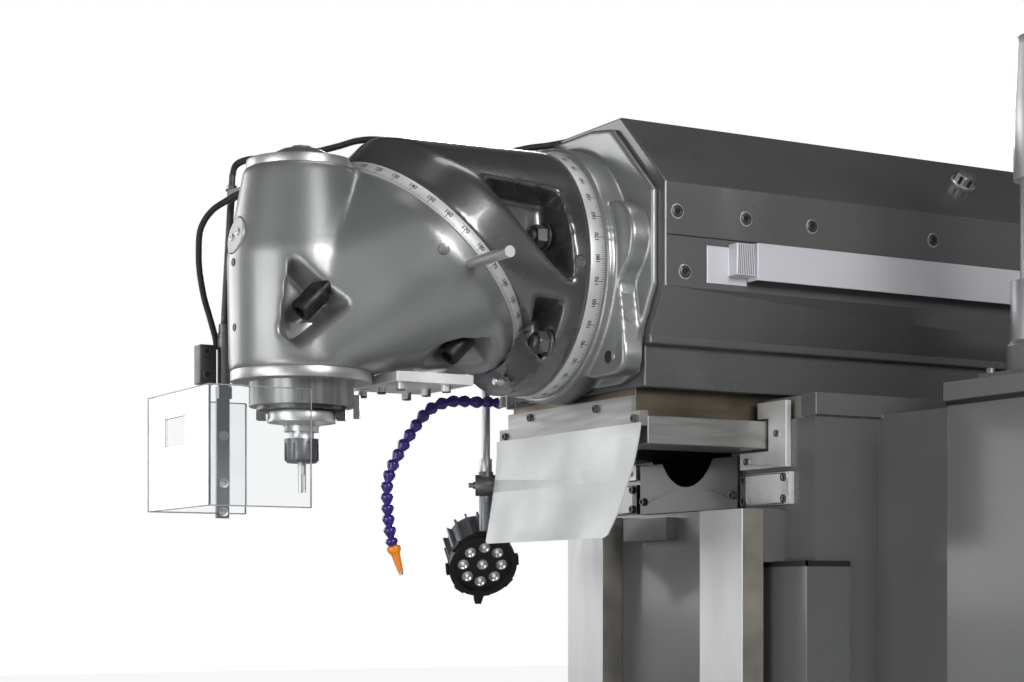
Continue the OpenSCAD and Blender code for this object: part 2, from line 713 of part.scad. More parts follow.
module swivel_shaft() color(steel) {
    slanted() {
        translate([0, 0, -110]) cylinder(r = 14, h = 98);
        cone_gear(24, 67.5, 12, 14);
        // Lower cone gear, whose cone points at the jack shaft's crossing
        cross = -(head_offset - jack_y) * sqrt(2);
        translate([0, 0, cross + 58]) cylinder(r1 = 58 * tan(22.5), r2 = 78 * tan(22.5), h = 20);
    }
}

module spindle_housing() color(paint) {
    bulge = 108;
    difference() {
        union() {
            hull() {
                translate([0, 0, flange_top]) cylinder(r1 = housing_foot_r, r2 = bulge, h = 150, $fn = 96);
                translate([0, 0, housing_top - 4]) cylinder(r = housing_top_r, h = 4, $fn = 96);
                slanted() translate([0, 0, cut_face - 24]) cylinder(r = ring_r - 2, h = 29, $fn = 96);
            }
        }
        slanted() translate([-300, -400, cut_face]) cube([600, 800, 400]);
        // Hollow for the gears, under and over the bearing bridge
        hull() {
            translate([0, 0, flange_top + 66]) cylinder(r = 66, h = 120, $fn = 48);
            slanted() translate([0, 0, cut_face - 30]) cylinder(r = 116, h = 36, $fn = 48);
        }
        slanted() translate([0, 0, -60]) cylinder(r = 119, h = 62);
        translate([0, 0, flange_top + 68]) cylinder(r = 64, h = 150);
        // Bearing seats
        translate([0, 0, flange_top - 1]) cylinder(r = 70 + run, h = 70);
        translate([0, 0, housing_top - 64]) cylinder(r = 58 + run, h = 74);
        translate([0, 0, housing_top]) cylinder(r = 78.5 + gap, h = 40);
        // Pockets for the turning bolts
        for (p = turn_bolts) slanted() translate([p[0], p[1], p[2] - 75]) cylinder(r = 25, h = 75);
        for (p = turn_bolts) slanted() translate([p[0], p[1], p[2] - 2]) cylinder(r = 9.5, h = 240);
        // Seat of the round cover in front
        translate([20, -102, ax + 19]) rotate([90, 0, 0]) cylinder(r = 29, h = 30);
        // Locating hole of the index pin
        translate([100, 178, ax - 22.5]) rotate([0, 90, 0]) cylinder(r = 8 + run, h = 120);
    }
    // Boss that carries the index pin
    translate([172, 178, ax - 22.5]) rotate([0, 90, 0]) tube(13, 8 + run, 18);
}
// Bolt axes on the slanted face: x, y and the level of each pocket's floor
turn_bolts = [[-95, -98, -190], [95, -98, -190], [-95, 98, -62], [95, 98, -62]];
module head_bolts() color(dark_steel) {
    for (p = turn_bolts) slanted() translate([p[0], p[1], 0]) {
        translate([0, 0, p[2] - 44]) difference() {
            cylinder(r = 14, h = 44 - gap);
            translate([0, 0, -1]) cylinder(r = 8, h = 14, $fn = 6);
        }
        translate([0, 0, p[2] - 1]) cylinder(r = 9, h = 11 - p[2]);
        translate([0, 0, 9]) cylinder(r = 14, h = 10);
    }
    // Round cover in the front pad
    translate([20, -102, ax + 19]) rotate([90, 0, 0]) cylinder(r = 28.7, h = 5);
    for (x = [8, 32]) translate([x, -107, ax + 12]) rotate([90, 0, 0]) socket_screw(5, 2);
}

module head_rings() color(steel) {
    // Ring around the housing's top, cut by the slanted face
    difference() {
        translate([0, 0, housing_top]) tube(78.5, 58.2, top_ring_h);
        slanted() translate([-300, -400, cut_face]) cube([600, 800, 400]);
    }
    // Bright flange and front bearing cap
    difference() {
        union() {
            translate([0, 0, flange_bottom]) cylinder(r = flange_r, h = flange_top - flange_bottom);
            translate([0, 0, nose_cap_bottom]) cylinder(r = nose_cap_r, h = nose_cap_h + 1);
        }
        translate([0, 0, nose_cap_bottom - 1]) cylinder(r = nose_r + run, h = nose_cap_h + 20);
    }
    // Block on the cap's side
    rotate([0, 0, 60.4]) block(nose_cap_r, nose_cap_r + 8, -7, 7, nose_cap_bottom - 15, nose_cap_bottom + 17);
}

module head_cap() color(paint) {
    difference() {
        union() {
            translate([0, 0, housing_top + 3]) cylinder(r = 58, h = top_ring_h - 3);
            translate([0, 0, housing_top + top_ring_h]) cylinder(r1 = 62, r2 = 30, h = 17);
            translate([0, 0, housing_top + top_ring_h + 17]) cylinder(r = 14, h = 6);
        }
        slanted() translate([-300, -400, cut_face]) cube([600, 800, 400]);
        translate([0, 0, housing_top + 2]) cylinder(r = 40, h = 8);
    }
}

module bottom_plate() color(alloy) {
    difference() {
        block(-64, 96, 104, 228, flange_bottom, flange_top - gap);
        translate([0, 0, flange_bottom - 1]) cylinder(r = flange_r + 1, h = 20);
    }
    for (x = [-48, 16, 80], y = [119, 190]) translate([x, y, flange_bottom]) mirror([0, 0, 1]) socket_screw(6.5, 10);
}

module index_pin() color(steel) {
    translate([118, 178, ax - 22.5]) rotate([0, 90, 0]) {
        cylinder(r = 8, h = 172);
    }
}

module guard_mount() color(dark_steel) {
    px = guard_pivot[0];
    py = guard_pivot[1];
    // Switch block with the hinge bore
    difference() {
        block(px - 11, px + 12, py - 38, py + 12, guard_top + 24, guard_top + 82);
        translate([px, py, guard_top + 20]) cylinder(r = 8 + run, h = 40);
    }
    for (z = [36, 68]) translate([px + 12, py - 27, guard_top + z]) rotate([0, 90, 0]) socket_screw(6, 3);
    // Sleeve above the block, with a bracket to the housing
    translate([px, py, guard_top + 82]) cylinder(r = 9, h = 250);
    translate([px, py, guard_top + 332]) cylinder(r = 5, h = 9);
    rotate([0, 0, atan2(py, px)]) block(90.6, norm(guard_pivot) - 5, -6, 6, housing_top - 40, housing_top - 20);
}

module spindle_bearings() color(steel) {
    translate([0, 0, flange_top + 2]) tube(70, spindle_r + run, 28);
    translate([0, 0, flange_top + 34]) tube(70, spindle_r + run, 28);
    translate([0, 0, housing_top - 40]) tube(58, spindle_r + run, 34);
}

module jack_shaft() color(steel) {
    translate([0, jack_y, 0]) {
        translate([0, 0, gear_low]) rotate(-90) gear(22, 12, gear_h);
        translate([0, 0, gear_low - 11]) cylinder(r = 12, h = gear_h + 21);
        translate([0, 0, gear_low - 31]) cylinder(r1 = 59 * tan(22.5) - 0.15, r2 = 79 * tan(22.5) - 0.15, h = 20);
    }
}

module guard_panel() color([0.85, 0.9, 0.92, 0.4]) {
    z0 = guard_top - guard_h;
    difference() {
        block(guard_x0, guard_x1, guard_y0, guard_y1, z0, guard_top);
        block(guard_x0 + guard_t, guard_x1 - guard_t, guard_y0 + guard_t, guard_y1 + 1, z0 - 1, guard_top + 1);
        block(-70, 10, guard_y0 - 1, guard_y0 + guard_t + 1, guard_top - 75, guard_top - 36);
    }
}
module guard_bar() color(dark_steel) {
    px = guard_pivot[0];
    py = guard_pivot[1];
    z0 = guard_top - guard_h - 7;
    block(guard_x0 + guard_t, guard_x0 + guard_t + 5, py - 10, py + 10, z0, guard_top + 6);
    translate([px, py, guard_top + 4]) cylinder(r = 8, h = 38);
    block(guard_x0 + guard_t, px + 8, py - 10, py + 10, guard_top + 4, guard_top + 22);
    for (z = [-162, -120, -50]) translate([guard_x0 + guard_t + 5, py, guard_top + z])
        rotate([0, 90, 0]) socket_screw(6, 4);
}

module spindle() color(steel) {
    difference() {
        union() {
            translate([0, 0, nose_cap_bottom - 5]) cylinder(r = nose_r, h = nose_cap_h + 8);
            translate([0, 0, flange_bottom]) cylinder(r = spindle_r, h = housing_top - flange_bottom + 2);
            translate([0, 0, gear_low]) rotate(360 / 56) gear(28, spindle_r - 1, gear_h);
        }
        // Tool taper and the bore of the drawbar
        translate([0, 0, nose_face - 1]) cylinder(r1 = taper_r + 0.3, r2 = taper_r - 14.8, h = 105);
        translate([0, 0, nose_face]) cylinder(r = 13, h = 400);
    }
    // Drive keys in the nose
    for (a = [60.4, 240.4]) rotate([0, 0, a]) block(50.2, 63.8, -12.7, 12.7, nose_face - 13, nose_face);
}

module tool_holder() color(dark_steel) {
    difference() {
        union() {
            translate([0, 0, holder_top]) cylinder(r1 = taper_r, r2 = taper_r - 14.6, h = 100);
            translate([0, 0, holder_top - 15]) cylinder(r = holder_r, h = 15);
            translate([0, 0, holder_top - 20]) cylinder(r1 = nut_r, r2 = 36, h = 5);
            translate([0, 0, holder_top - 28]) cylinder(r = nut_r, h = 8);
            translate([0, 0, nut_top]) cylinder(r = 18, h = 12);
            translate([0, 0, nut_top - nut_h + 4]) cylinder(r = nut_r, h = nut_h - 4);
            translate([0, 0, nut_top - nut_h]) cylinder(r1 = nut_r - 4, r2 = nut_r, h = 4);
        }
        for (i = [0:7]) rotate(45 * i) block(nut_r - 3, nut_r + 3, -3, 3, nut_top - nut_h + 4, nut_top - 6);
        translate([0, 0, nut_top - nut_h - 1]) cylinder(r = mill_r + run, h = 40);
    }
    // Drawbar
    translate([0, 0, holder_top + 100]) cylinder(r = 12, h = housing_top - holder_top - 100);
}

module end_mill() color(steel) {
    tip = nut_top - nut_h - mill_out;
    difference() {
        translate([0, 0, tip]) cylinder(r = mill_r, h = mill_out + 38);
        for (i = [0:2]) rotate(120 * i) translate([mill_r, 0, tip - 1]) cylinder(r = mill_r * 0.55, h = 26, $fn = 24);
    }
}

cross_z = knee_top - 90;
crank_x = 118;
crank_z = knee_top - 172;
module knee() color(paint) {
    slider_top = knee_top + 75;
    difference() {
        union() {
            rotate([90, 0, 90]) translate([0, 0, -150]) linear_extrude(height = 300) polygon([
                [-170, knee_top - 215], [-170, knee_top], [way_front - gap, knee_top],
                [way_front - gap, knee_top - 380], [way_front - 120, knee_top - 380], [-60, knee_top - 320]]);
            block(-300, 300, way_front - 60, way_front - gap, knee_top - 380, slider_top);
            for (s = [0, 1]) mirror([s, 0, 0]) {
                block(way_half + gap, 300, way_front - 60, way_back + gap, knee_top - 380, slider_top);
                block(way_half - 30, 300, way_back + gap, slider_back - gap, knee_top - 380, slider_top);
            }
        }
        block(-130, 130, -100, way_front - 80, knee_top - 400, knee_top - 60);
        // Bores of the cross screw, the crank and the elevating screw
        translate([0, -171, cross_z]) rotate([-90, 0, 0]) cylinder(r = 14 + run, h = 72);
        translate([crank_x, -171, crank_z]) rotate([-90, 0, 0]) cylinder(r = 12 + run, h = 72);
        translate([0, 60, knee_top - 70]) cylinder(r = screw_r + run, h = 23);
    }
    // Cross ways under the saddle
    for (s = [0, 1]) mirror([s, 0, 0]) block(95, 148, -170, way_front - 62, knee_top, knee_top + 20);
}

module elevating_screw() color(steel) {
    translate([0, 60, knee_top - 560]) cylinder(r = screw_r, h = 512);
    translate([0, 60, knee_top - 84]) cylinder(r = 45, h = 23.7);
}

saddle_back = 200;
module saddle() color(paint) {
    difference() {
        block(-220, 220, -200, saddle_back, saddle_low + gap, turn_low);
        // Runs over the knee's cross ways
        for (s = [0, 1]) mirror([s, 0, 0])
            block(95 - slide_gap, 148 + slide_gap, -201, saddle_back + 1, saddle_low - 1, saddle_low + 20 + gap);
        translate([0, 0, turn_low - 16]) tube(152, 130, 17);
    }
    for (s = [-1, 1]) block(s * 185 - 34, s * 185 + 34, -180, 180, saddle_low - 30, saddle_low + gap);
}

module turntable() color(paint) {
    translate([0, 0, turn_low + gap]) cylinder(r = 195, h = 27);
    translate([0, 0, turn_low - 15]) tube(151.7, 130.3, 16);
    block(-200, 200, -140, 140, turn_low + 27, table_low - 18);
    // Dovetail for the table
    rotate([90, 0, 90]) translate([0, 0, -200]) linear_extrude(height = 400) polygon([
        [-80, table_low - 18.5], [80, table_low - 18.5], [94, table_low + 18], [-94, table_low + 18]]);
}

feed_r = 11;
feed_z = table_low + 31;
module table() color(steel) {
    half = table_l / 2;
    difference() {
        union() {
            block(-half, half, -table_w / 2, table_w / 2, table_low + gap, table_h);
            block(-half, half, -130, 130, table_low - 17.7, table_low + 1);
            for (s = [-1, 1]) block(s * (half + 25) - 25, s * (half + 25) + 25, -110, 110, table_low - 15, table_h - 8);
        }
        // Dovetail
        rotate([90, 0, 90]) translate([0, 0, -half - 60]) linear_extrude(height = table_l + 120) polygon([
            [-80 - gap, table_low - 19], [80 + gap, table_low - 19],
            [94 + gap, table_low + 18 + gap], [-94 - gap, table_low + 18 + gap]]);
        // Three T slots
        for (y = [-90, 0, 90]) {
            block(-half - 1, half + 1, y - tee_w / 2, y + tee_w / 2, table_h - 32, table_h + 1);
            block(-half - 1, half + 1, y - tee_w / 2 - 7, y + tee_w / 2 + 7, table_h - 32, table_h - 18);
        }
        // Screw's bearings in the end brackets
        translate([-half - 60, 0, feed_z]) rotate([0, 90, 0]) cylinder(r = feed_r + run, h = table_l + 120);
    }
}

module handwheel(r, bore) {
    tube(r, r - 12, 14);
    cylinder(r = bore + 16, h = 30);
    for (a = [0:120:240]) rotate(a) translate([bore + 14, -7, 2]) cube([r - bore - 25, 14, 8]);
    translate([r - 8, 0, 14]) cylinder(r = 10, h = 62);
}
module table_screw() color(steel) {
    half = table_l / 2;
    translate([-half - 80, 0, feed_z]) rotate([0, 90, 0]) cylinder(r = feed_r, h = table_l + 150);
    translate([-half - 52, 0, feed_z]) rotate([0, -90, 0]) handwheel(86, feed_r);
}
module cross_screw() color(steel) {
    translate([0, -200, cross_z]) rotate([-90, 0, 0]) cylinder(r = 14, h = 188);
    translate([0, -171, cross_z]) rotate([90, 0, 0]) handwheel(72, 14);
}
module knee_crank() color(steel) {
    translate([crank_x, -300, crank_z]) rotate([-90, 0, 0]) cylinder(r = 12, h = 215);
    translate([crank_x, -266, crank_z]) rotate([90, 0, 0]) {
        cylinder(r = 22, h = 26);
        translate([0, -13, 4]) cube([118, 26, 14]);
        translate([112, 0, 4]) cylinder(r = 13, h = 14);
        translate([112, 0, 18]) cylinder(r = 12, h = 100);
    }
}

base();
column();
knee_ways();
ram_keepers();
way_wipers();
column_plates();
ram_screw();
cabinet();
cabinet_door();
coolant_pump();
pendant_post();
pendant_arm();
pendant_box();
start_button();
stop_button();
ram();
ram_rail();
ram_adapter();
ram_scale_ring();
rule_cover();
ram_fasteners();
chip_guard_bar();
chip_guard_sheet();
coolant_hose();
hose_nozzle();
lamp_tube();
spindle_motor();
drive_shaft();
conduit_rear();
lamp_elbow();
lamp_body();
lamp_face();
knuckle();
swivel_scale_ring();
knuckle_nuts();
swivel_shaft();
conduit_middle();
spindle_housing();
head_rings();
head_cap();
head_bolts();
bottom_plate();
index_pin();
guard_mount();
conduit_front();
spindle_bearings();
jack_shaft();
guard_panel();
guard_bar();
spindle();
tool_holder();
end_mill();
knee();
elevating_screw();
saddle();
turntable();
table();
table_screw();
cross_screw();
knee_crank();
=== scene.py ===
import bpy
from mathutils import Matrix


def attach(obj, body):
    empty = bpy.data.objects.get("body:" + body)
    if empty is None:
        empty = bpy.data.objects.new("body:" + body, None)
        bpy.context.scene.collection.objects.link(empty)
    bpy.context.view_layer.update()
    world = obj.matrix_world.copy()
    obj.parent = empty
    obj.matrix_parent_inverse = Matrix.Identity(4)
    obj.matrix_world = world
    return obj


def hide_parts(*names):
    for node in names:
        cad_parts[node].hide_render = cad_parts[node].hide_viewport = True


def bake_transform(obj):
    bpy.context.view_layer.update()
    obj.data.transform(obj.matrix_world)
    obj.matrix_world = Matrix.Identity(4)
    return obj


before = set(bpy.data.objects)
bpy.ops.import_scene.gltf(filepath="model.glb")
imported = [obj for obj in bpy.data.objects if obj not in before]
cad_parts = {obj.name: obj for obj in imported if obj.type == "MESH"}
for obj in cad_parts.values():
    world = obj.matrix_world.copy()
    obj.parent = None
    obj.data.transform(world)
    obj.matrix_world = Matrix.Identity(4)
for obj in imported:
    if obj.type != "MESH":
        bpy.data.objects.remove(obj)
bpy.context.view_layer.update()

import bmesh
import bpy
import math
from mathutils import Matrix, Vector

# Camera: an eye-level studio shot from the machine's front right, with the view
# shifted upwards so that the column's edges stay upright.
scene = bpy.context.scene
lens = bpy.data.cameras.new("camera")
lens.lens = 71.2
lens.sensor_width = 36
lens.shift_y = 0.252
lens.clip_start = 0.05
lens.clip_end = 100
camera = bpy.data.objects.new("camera", lens)
camera.location = (2.6621, -1.1644, 1.2395)
camera.rotation_euler = (math.pi / 2, 0, math.atan2(0.8698, 0.4933))
scene.collection.objects.link(camera)
scene.camera = camera
scene.view_settings.view_transform = "Standard"


# Studio: a white sweep behind, dark felt strips and large soft boxes around, which
# give the glossy castings their light and dark bands.
def add_node(tree, kind, inputs=(), **settings):
    """A shader node; inputs maps a socket to a plain value or to another node's output."""
    n = tree.nodes.new("ShaderNode" + kind)
    for key, value in settings.items():
        setattr(n, key, value)
    for key, value in dict(inputs).items():
        if isinstance(value, bpy.types.NodeSocket):
            tree.links.new(value, n.inputs[key])
        else:
            n.inputs[key].default_value = value
    return n


def ramp(tree, fac, stops):
    """A colour ramp through (place, colour) stops."""
    n = add_node(tree, "ValToRGB", {"Fac": fac})
    row = n.color_ramp.elements
    for e, (place, color) in zip((row[0], row[1]), (stops[0], stops[-1])):
        e.position, e.color = place, (*color, 1)
    for place, color in stops[1:-1]:
        row.new(place).color = (*color, 1)
    return n.outputs["Color"]


world = bpy.data.worlds.new("studio")
scene.world = world
world.use_nodes = True
sky = world.node_tree
sky.nodes.clear()
felt_strips = ((0.34, 0.46), (0.45, 0.12), (0.52, 0.20), (0.60, 0.50), (0.70, 0.13), (0.80, 0.03))
around = add_node(sky, "TexCoord").outputs["Generated"]
height = add_node(sky, "SeparateXYZ", {0: around}).outputs["Z"]
level = add_node(sky, "MapRange", {"Value": height, "From Min": -1}).outputs["Result"]
bands = ramp(sky, level, [(0.0, (0.55, 0.55, 0.55)), *[(at, (v, v, v * 1.02)) for at, v in felt_strips],
                          (1.0, (0.05, 0.05, 0.055))])
stretched = add_node(sky, "Mapping", {"Vector": around, "Scale": (1, 1, 0.45)}).outputs["Vector"]
cloud = add_node(sky, "TexNoise", {"Vector": stretched, "Scale": 2.1}).outputs["Fac"]
uneven = ramp(sky, cloud, [(0.42, (0.35, 0.35, 0.36)), (0.58, (1.35, 1.35, 1.35))])
walls = add_node(sky, "MixRGB", {"Fac": 0.8, "Color1": bands, "Color2": uneven}, blend_type="MULTIPLY")
room = add_node(sky, "Background", {"Color": walls.outputs["Color"], "Strength": 1.15})
white = add_node(sky, "Background", {"Color": (1, 1, 1, 1)})
rays = add_node(sky, "LightPath").outputs
seen = add_node(sky, "Math", {0: rays["Is Camera Ray"], 1: rays["Is Transmission Ray"]}, operation="MAXIMUM")
pick = add_node(sky, "MixShader", {"Fac": seen.outputs[0], 1: room.outputs[0], 2: white.outputs[0]})
add_node(sky, "OutputWorld", {"Surface": pick.outputs[0]})


def soft_box(name, place, target, size, power):
    data = bpy.data.lights.new(name, "AREA")
    data.shape = "RECTANGLE"
    data.size, data.size_y = size
    data.energy = power
    o = bpy.data.objects.new(name, data)
    o.location = place
    o.rotation_mode = "QUATERNION"
    o.rotation_quaternion = (Vector(target) - Vector(place)).to_track_quat("-Z", "Y")
    scene.collection.objects.link(o)
    o.visible_camera = False


soft_box("key_left", (-3.0, -1.5, 2.1), (0, 0.1, 1.65), (2.2, 1.8), 32)
soft_box("front", (0.7, -3.6, 1.9), (0.1, 0.3, 1.5), (2.6, 1.6), 46)
soft_box("key_right", (3.4, 0.4, 2.7), (0.2, 0.7, 1.6), (1.3, 1.1), 68)
soft_box("overhead", (0.6, 0.6, 4.2), (0.1, 0.4, 1.6), (2.2, 0.5), 14)
soft_box("low_front", (1.3, -2.7, 0.55), (0.1, 0.2, 1.6), (1.8, 0.7), 23)
soft_box("rim", (-3.0, 2.0, 2.4), (0, 0.2, 1.7), (0.8, 1.6), 50)


# Floor: a pale cast floor under the machine. The camera sees it almost as bright as the
# sweep behind it, so that the two run into each other.
def shader(name, color, metallic=0.0, rough=0.4, coat=0.0, coat_rough=0.1, grain=None, bump=None,
           patches=None, transmission=0.0, ior=1.45, spec=0.5, emission=0.0, worn=None):
    """A procedural finish in object space. grain is (scale, depth in roughness) and patches
    (scale, depth in brightness), each with an optional stretch; bump is (scale, height in
    metres); worn is the brightness of rubbed edges."""
    m = bpy.data.materials.new(name)
    m.use_nodes = True
    tree = m.node_tree
    skin = tree.nodes["Principled BSDF"].inputs
    for key, value in (("Base Color", (*color, 1)), ("Metallic", metallic), ("Roughness", rough),
                       ("Coat Weight", coat), ("Coat Roughness", coat_rough), ("IOR", ior),
                       ("Transmission Weight", transmission), ("Specular IOR Level", spec)):
        skin[key].default_value = value
    if emission:
        skin["Emission Color"].default_value = (*color, 1)
        skin["Emission Strength"].default_value = emission
    place = add_node(tree, "TexCoord").outputs["Object"]

    def noise(scale, stretch=None, detail=5.0):
        vector = place
        if stretch:
            vector = add_node(tree, "Mapping", {"Vector": place, "Scale": stretch}).outputs["Vector"]
        return add_node(tree, "TexNoise", {"Scale": scale, "Detail": detail, "Vector": vector}).outputs["Fac"]

    if grain:
        rubbed = add_node(tree, "MapRange", {
            "Value": noise(grain[0], *grain[2:]), "From Min": 0.3, "From Max": 0.7,
            "To Min": max(0.02, rough - grain[1]), "To Max": min(1.0, rough + grain[1])})
        tree.links.new(rubbed.outputs["Result"], skin["Roughness"])
    tone = (*color, 1)
    if patches:
        tone = ramp(tree, noise(patches[0], *patches[2:], detail=7.0),
                    [(0.3, [x * (1 - patches[1]) for x in color]),
                     (0.7, [min(1, x * (1 + patches[1])) for x in color])])
        tree.links.new(tone, skin["Base Color"])
    if worn:
        point = add_node(tree, "NewGeometry").outputs["Pointiness"]
        edges = add_node(tree, "MapRange", {"Value": point, "From Min": 0.52, "From Max": 0.62, "To Max": 0.8})
        mixed = add_node(tree, "MixRGB", {"Fac": edges.outputs["Result"], "Color1": tone,
                                          "Color2": (worn, worn, worn, 1)})
        tree.links.new(mixed.outputs["Color"], skin["Base Color"])
    if bump:
        relief = add_node(tree, "Bump", {"Distance": bump[1], "Strength": 1.0,
                                         "Height": noise(bump[0], *bump[2:])})
        tree.links.new(relief.outputs["Normal"], skin["Normal"])
    return m


bpy.ops.mesh.primitive_plane_add(size=60, location=(0, 0, -0.0005))
floor = bpy.context.object
floor.name = "floor"
pale = shader("pale_floor", (0.86, 0.86, 0.86), rough=0.6, patches=(3, 0.02))
floor.data.materials.append(pale)
tree = pale.node_tree
glow = add_node(tree, "Emission", {"Strength": 1.0})
share = add_node(tree, "Math", {0: add_node(tree, "LightPath").outputs["Is Camera Ray"], 1: 0.93},
                 operation="MULTIPLY")
faded = add_node(tree, "MixShader", {"Fac": share.outputs[0], 1: tree.nodes["Principled BSDF"].outputs[0],
                                     2: glow.outputs[0]})
tree.links.new(faded.outputs[0], tree.nodes["Material Output"].inputs["Surface"])


# Column, cabinet and base: grey iron, filled, sprayed with a glossy two-part enamel
# that shows a faint orange peel; the way surfaces stay bare and scraped.
def two_tone(m, axis, low, high, color, both=False):
    """Gives one side of a plane across the row frame another colour: bare, stained or bright metal."""
    tree = m.node_tree
    place = add_node(tree, "TexCoord").outputs["Object"]
    value = add_node(tree, "SeparateXYZ", {0: place}).outputs[axis]
    if both:
        value = add_node(tree, "Math", {0: value}, operation="ABSOLUTE").outputs[0]
    above = add_node(tree, "MapRange", {"Value": value, "From Min": low, "From Max": high})
    mottle = add_node(tree, "TexNoise", {"Scale": 14, "Detail": 8, "Vector": place}).outputs["Fac"]
    spread = ramp(tree, mottle, [(0.3, [0.72 * c for c in color]), (0.7, [1.25 * c for c in color])])
    skin = tree.nodes["Principled BSDF"].inputs["Base Color"]
    stain = add_node(tree, "MixRGB", {"Fac": above.outputs["Result"], "Color1": skin.links[0].from_socket,
                                      "Color2": spread})
    tree.links.new(stain.outputs["Color"], skin)
    return m


def dress(node, mat, bevel=0.0):
    """Gives a CAD node its finish and a small machined edge break."""
    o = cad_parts[node]
    o.data.materials.clear()
    o.data.materials.append(mat)
    o.modifiers.new("weld", "WELD").merge_threshold = 0.00001
    if bevel:
        b = o.modifiers.new("edge", "BEVEL")
        b.width = bevel
        b.segments = 2
        b.limit_method = "ANGLE"
        b.angle_limit = math.radians(40)
        b.use_clamp_overlap = True
    o.modifiers.new("crease", "EDGE_SPLIT").split_angle = math.radians(28)
    return o


column_coat = shader("column_coat", (0.142, 0.145, 0.145), metallic=0.30, rough=0.34, coat=0.55,
                     coat_rough=0.12, grain=(5, 0.07), bump=(80, 0.0002), patches=(1.6, 0.18))
cabinet_coat = shader("cabinet_coat", (0.165, 0.168, 0.168), metallic=0.28, rough=0.34, coat=0.55,
                      coat_rough=0.12, grain=(4, 0.05), bump=(60, 0.00018), patches=(1.4, 0.16))
scraped = shader("scraped_iron", (0.65, 0.65, 0.655), metallic=0.45, rough=0.44, grain=(40, 0.06, (3, 3, 0.5)),
                 patches=(4, 0.12, (3, 3, 0.5)))
# The ways stay light only on their front faces; their sides come out darker and browner.
two_tone(scraped, "Y", 0.5936, 0.5944, (0.26, 0.245, 0.215))
plate_coat = shader("plate_coat", (0.062, 0.064, 0.064), metallic=0.2, rough=0.4, coat=0.3, coat_rough=0.14,
                    patches=(5, 0.14))
two_tone(plate_coat, "X", 0.158, 0.1584, (0.62, 0.62, 0.61), both=True)
ground = shader("ground_steel", (0.48, 0.48, 0.47), metallic=0.95, rough=0.36, grain=(40, 0.05, (6, 0.3, 6)),
                patches=(5, 0.10, (2, 0.5, 2)))
alloy = shader("milled_alloy", (0.68, 0.69, 0.68), metallic=0.5, rough=0.42, grain=(20, 0.07),
               patches=(12, 0.16))
black_steel = shader("black_steel", (0.035, 0.034, 0.033), metallic=0.7, rough=0.34, grain=(60, 0.12),
                     patches=(50, 0.35), worn=0.25)
for node, mat, edge in (
        ("base", column_coat, 0.003), ("column", column_coat, 0.004), ("column_plates", plate_coat, 0.0008),
        ("cabinet", cabinet_coat, 0.0015), ("cabinet_door", cabinet_coat, 0.0015),
        ("knee_ways", scraped, 0.0012), ("ram_keepers", scraped, 0.001), ("way_wipers", alloy, 0.0006),
        ("ram_screw", ground, 0.001), ("coolant_pump", black_steel, 0.001)):
    dress(node, mat, edge)

# Tray on the cabinet: folded sheet whose lip leaves a gap all round, its shadow painted as
# black strips. Heights are given from AX, the height of the ram's axis over the floor in millimetres.
AX = 1730.0
TRAY_X, TRAY_Y, TRAY_GAP = (500.2, 831.8), (759.2, 1230.8), 1.8
GAP_FOOT, LIP_FOOT = AX - 221, AX - 213.6
# Plain black for black parts. The same black also serves as painted shadow, on strips and discs placed where
# gaps and holes lie in shade.
black_and_painted_shade = shader("black_plastic", (0.012, 0.012, 0.013), rough=0.42, bump=(900, 0.00003))


def hull(*groups):
    """The convex body round groups of points in millimetres."""
    bm = bmesh.new()
    for g in groups:
        for p in g:
            bm.verts.new(Vector(p) / 1000)
    res = bmesh.ops.convex_hull(bm, input=bm.verts)
    loose = [v for v in res["geom_interior"] + res["geom_unused"] if isinstance(v, bmesh.types.BMVert)]
    bmesh.ops.delete(bm, geom=list(set(loose)), context="VERTS")
    bmesh.ops.recalc_face_normals(bm, faces=bm.faces)
    return bm


def boxed(x0, x1, y0, y1, z0, z1):
    return [Vector((x, y, z)) for x in (x0, x1) for y in (y0, y1) for z in (z0, z1)]


def made(name, bm, mat=None):
    """Turns a finished mesh into a named piece."""
    me = bpy.data.meshes.new(name)
    bm.to_mesh(me)
    bm.free()
    if mat:
        me.materials.append(mat)
    o = bpy.data.objects.new(name, me)
    scene.collection.objects.link(o)
    return o


def joined(name, parts, mat=None):
    """Several bodies in one piece."""
    whole = bmesh.new()
    for bm in parts:
        loose = bpy.data.meshes.new("part")
        bm.to_mesh(loose)
        bm.free()
        whole.from_mesh(loose)
        bpy.data.meshes.remove(loose)
    return made(name, whole, mat)


for i, (x0, x1, y0, y1) in enumerate((
        (*TRAY_X, TRAY_Y[0], TRAY_Y[0] + TRAY_GAP), (*TRAY_X, TRAY_Y[1] - TRAY_GAP, TRAY_Y[1]),
        (TRAY_X[0], TRAY_X[0] + TRAY_GAP, *TRAY_Y), (TRAY_X[1] - TRAY_GAP, TRAY_X[1], *TRAY_Y))):
    gap_shadow = joined(f"tray_gap_shadow_{i}", [hull(boxed(x0, x1, y0, y1, GAP_FOOT, LIP_FOOT))], black_and_painted_shade)
    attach(gap_shadow, "stand")

# Undercut over the column's lower boxes: the wider casting ends in a machined step, whose
# shadow line is painted on as thin black strips.
COLUMN_FRONT, BOX_SIDE, BOX_END = 650, 326.5, 730
LINE_FOOT, LINE_TOP = AX - 443, AX - 434.6
for side in (-1, 1):
    for i, (x0, y1) in enumerate(((209, COLUMN_FRONT + 2), (324, BOX_END))):
        line = boxed(side * x0, side * BOX_SIDE, COLUMN_FRONT - 0.5, y1, LINE_FOOT, LINE_TOP)
        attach(joined(f"undercut_shadow_{side + 1}_{i}", [hull(line)], black_and_painted_shade), "stand")

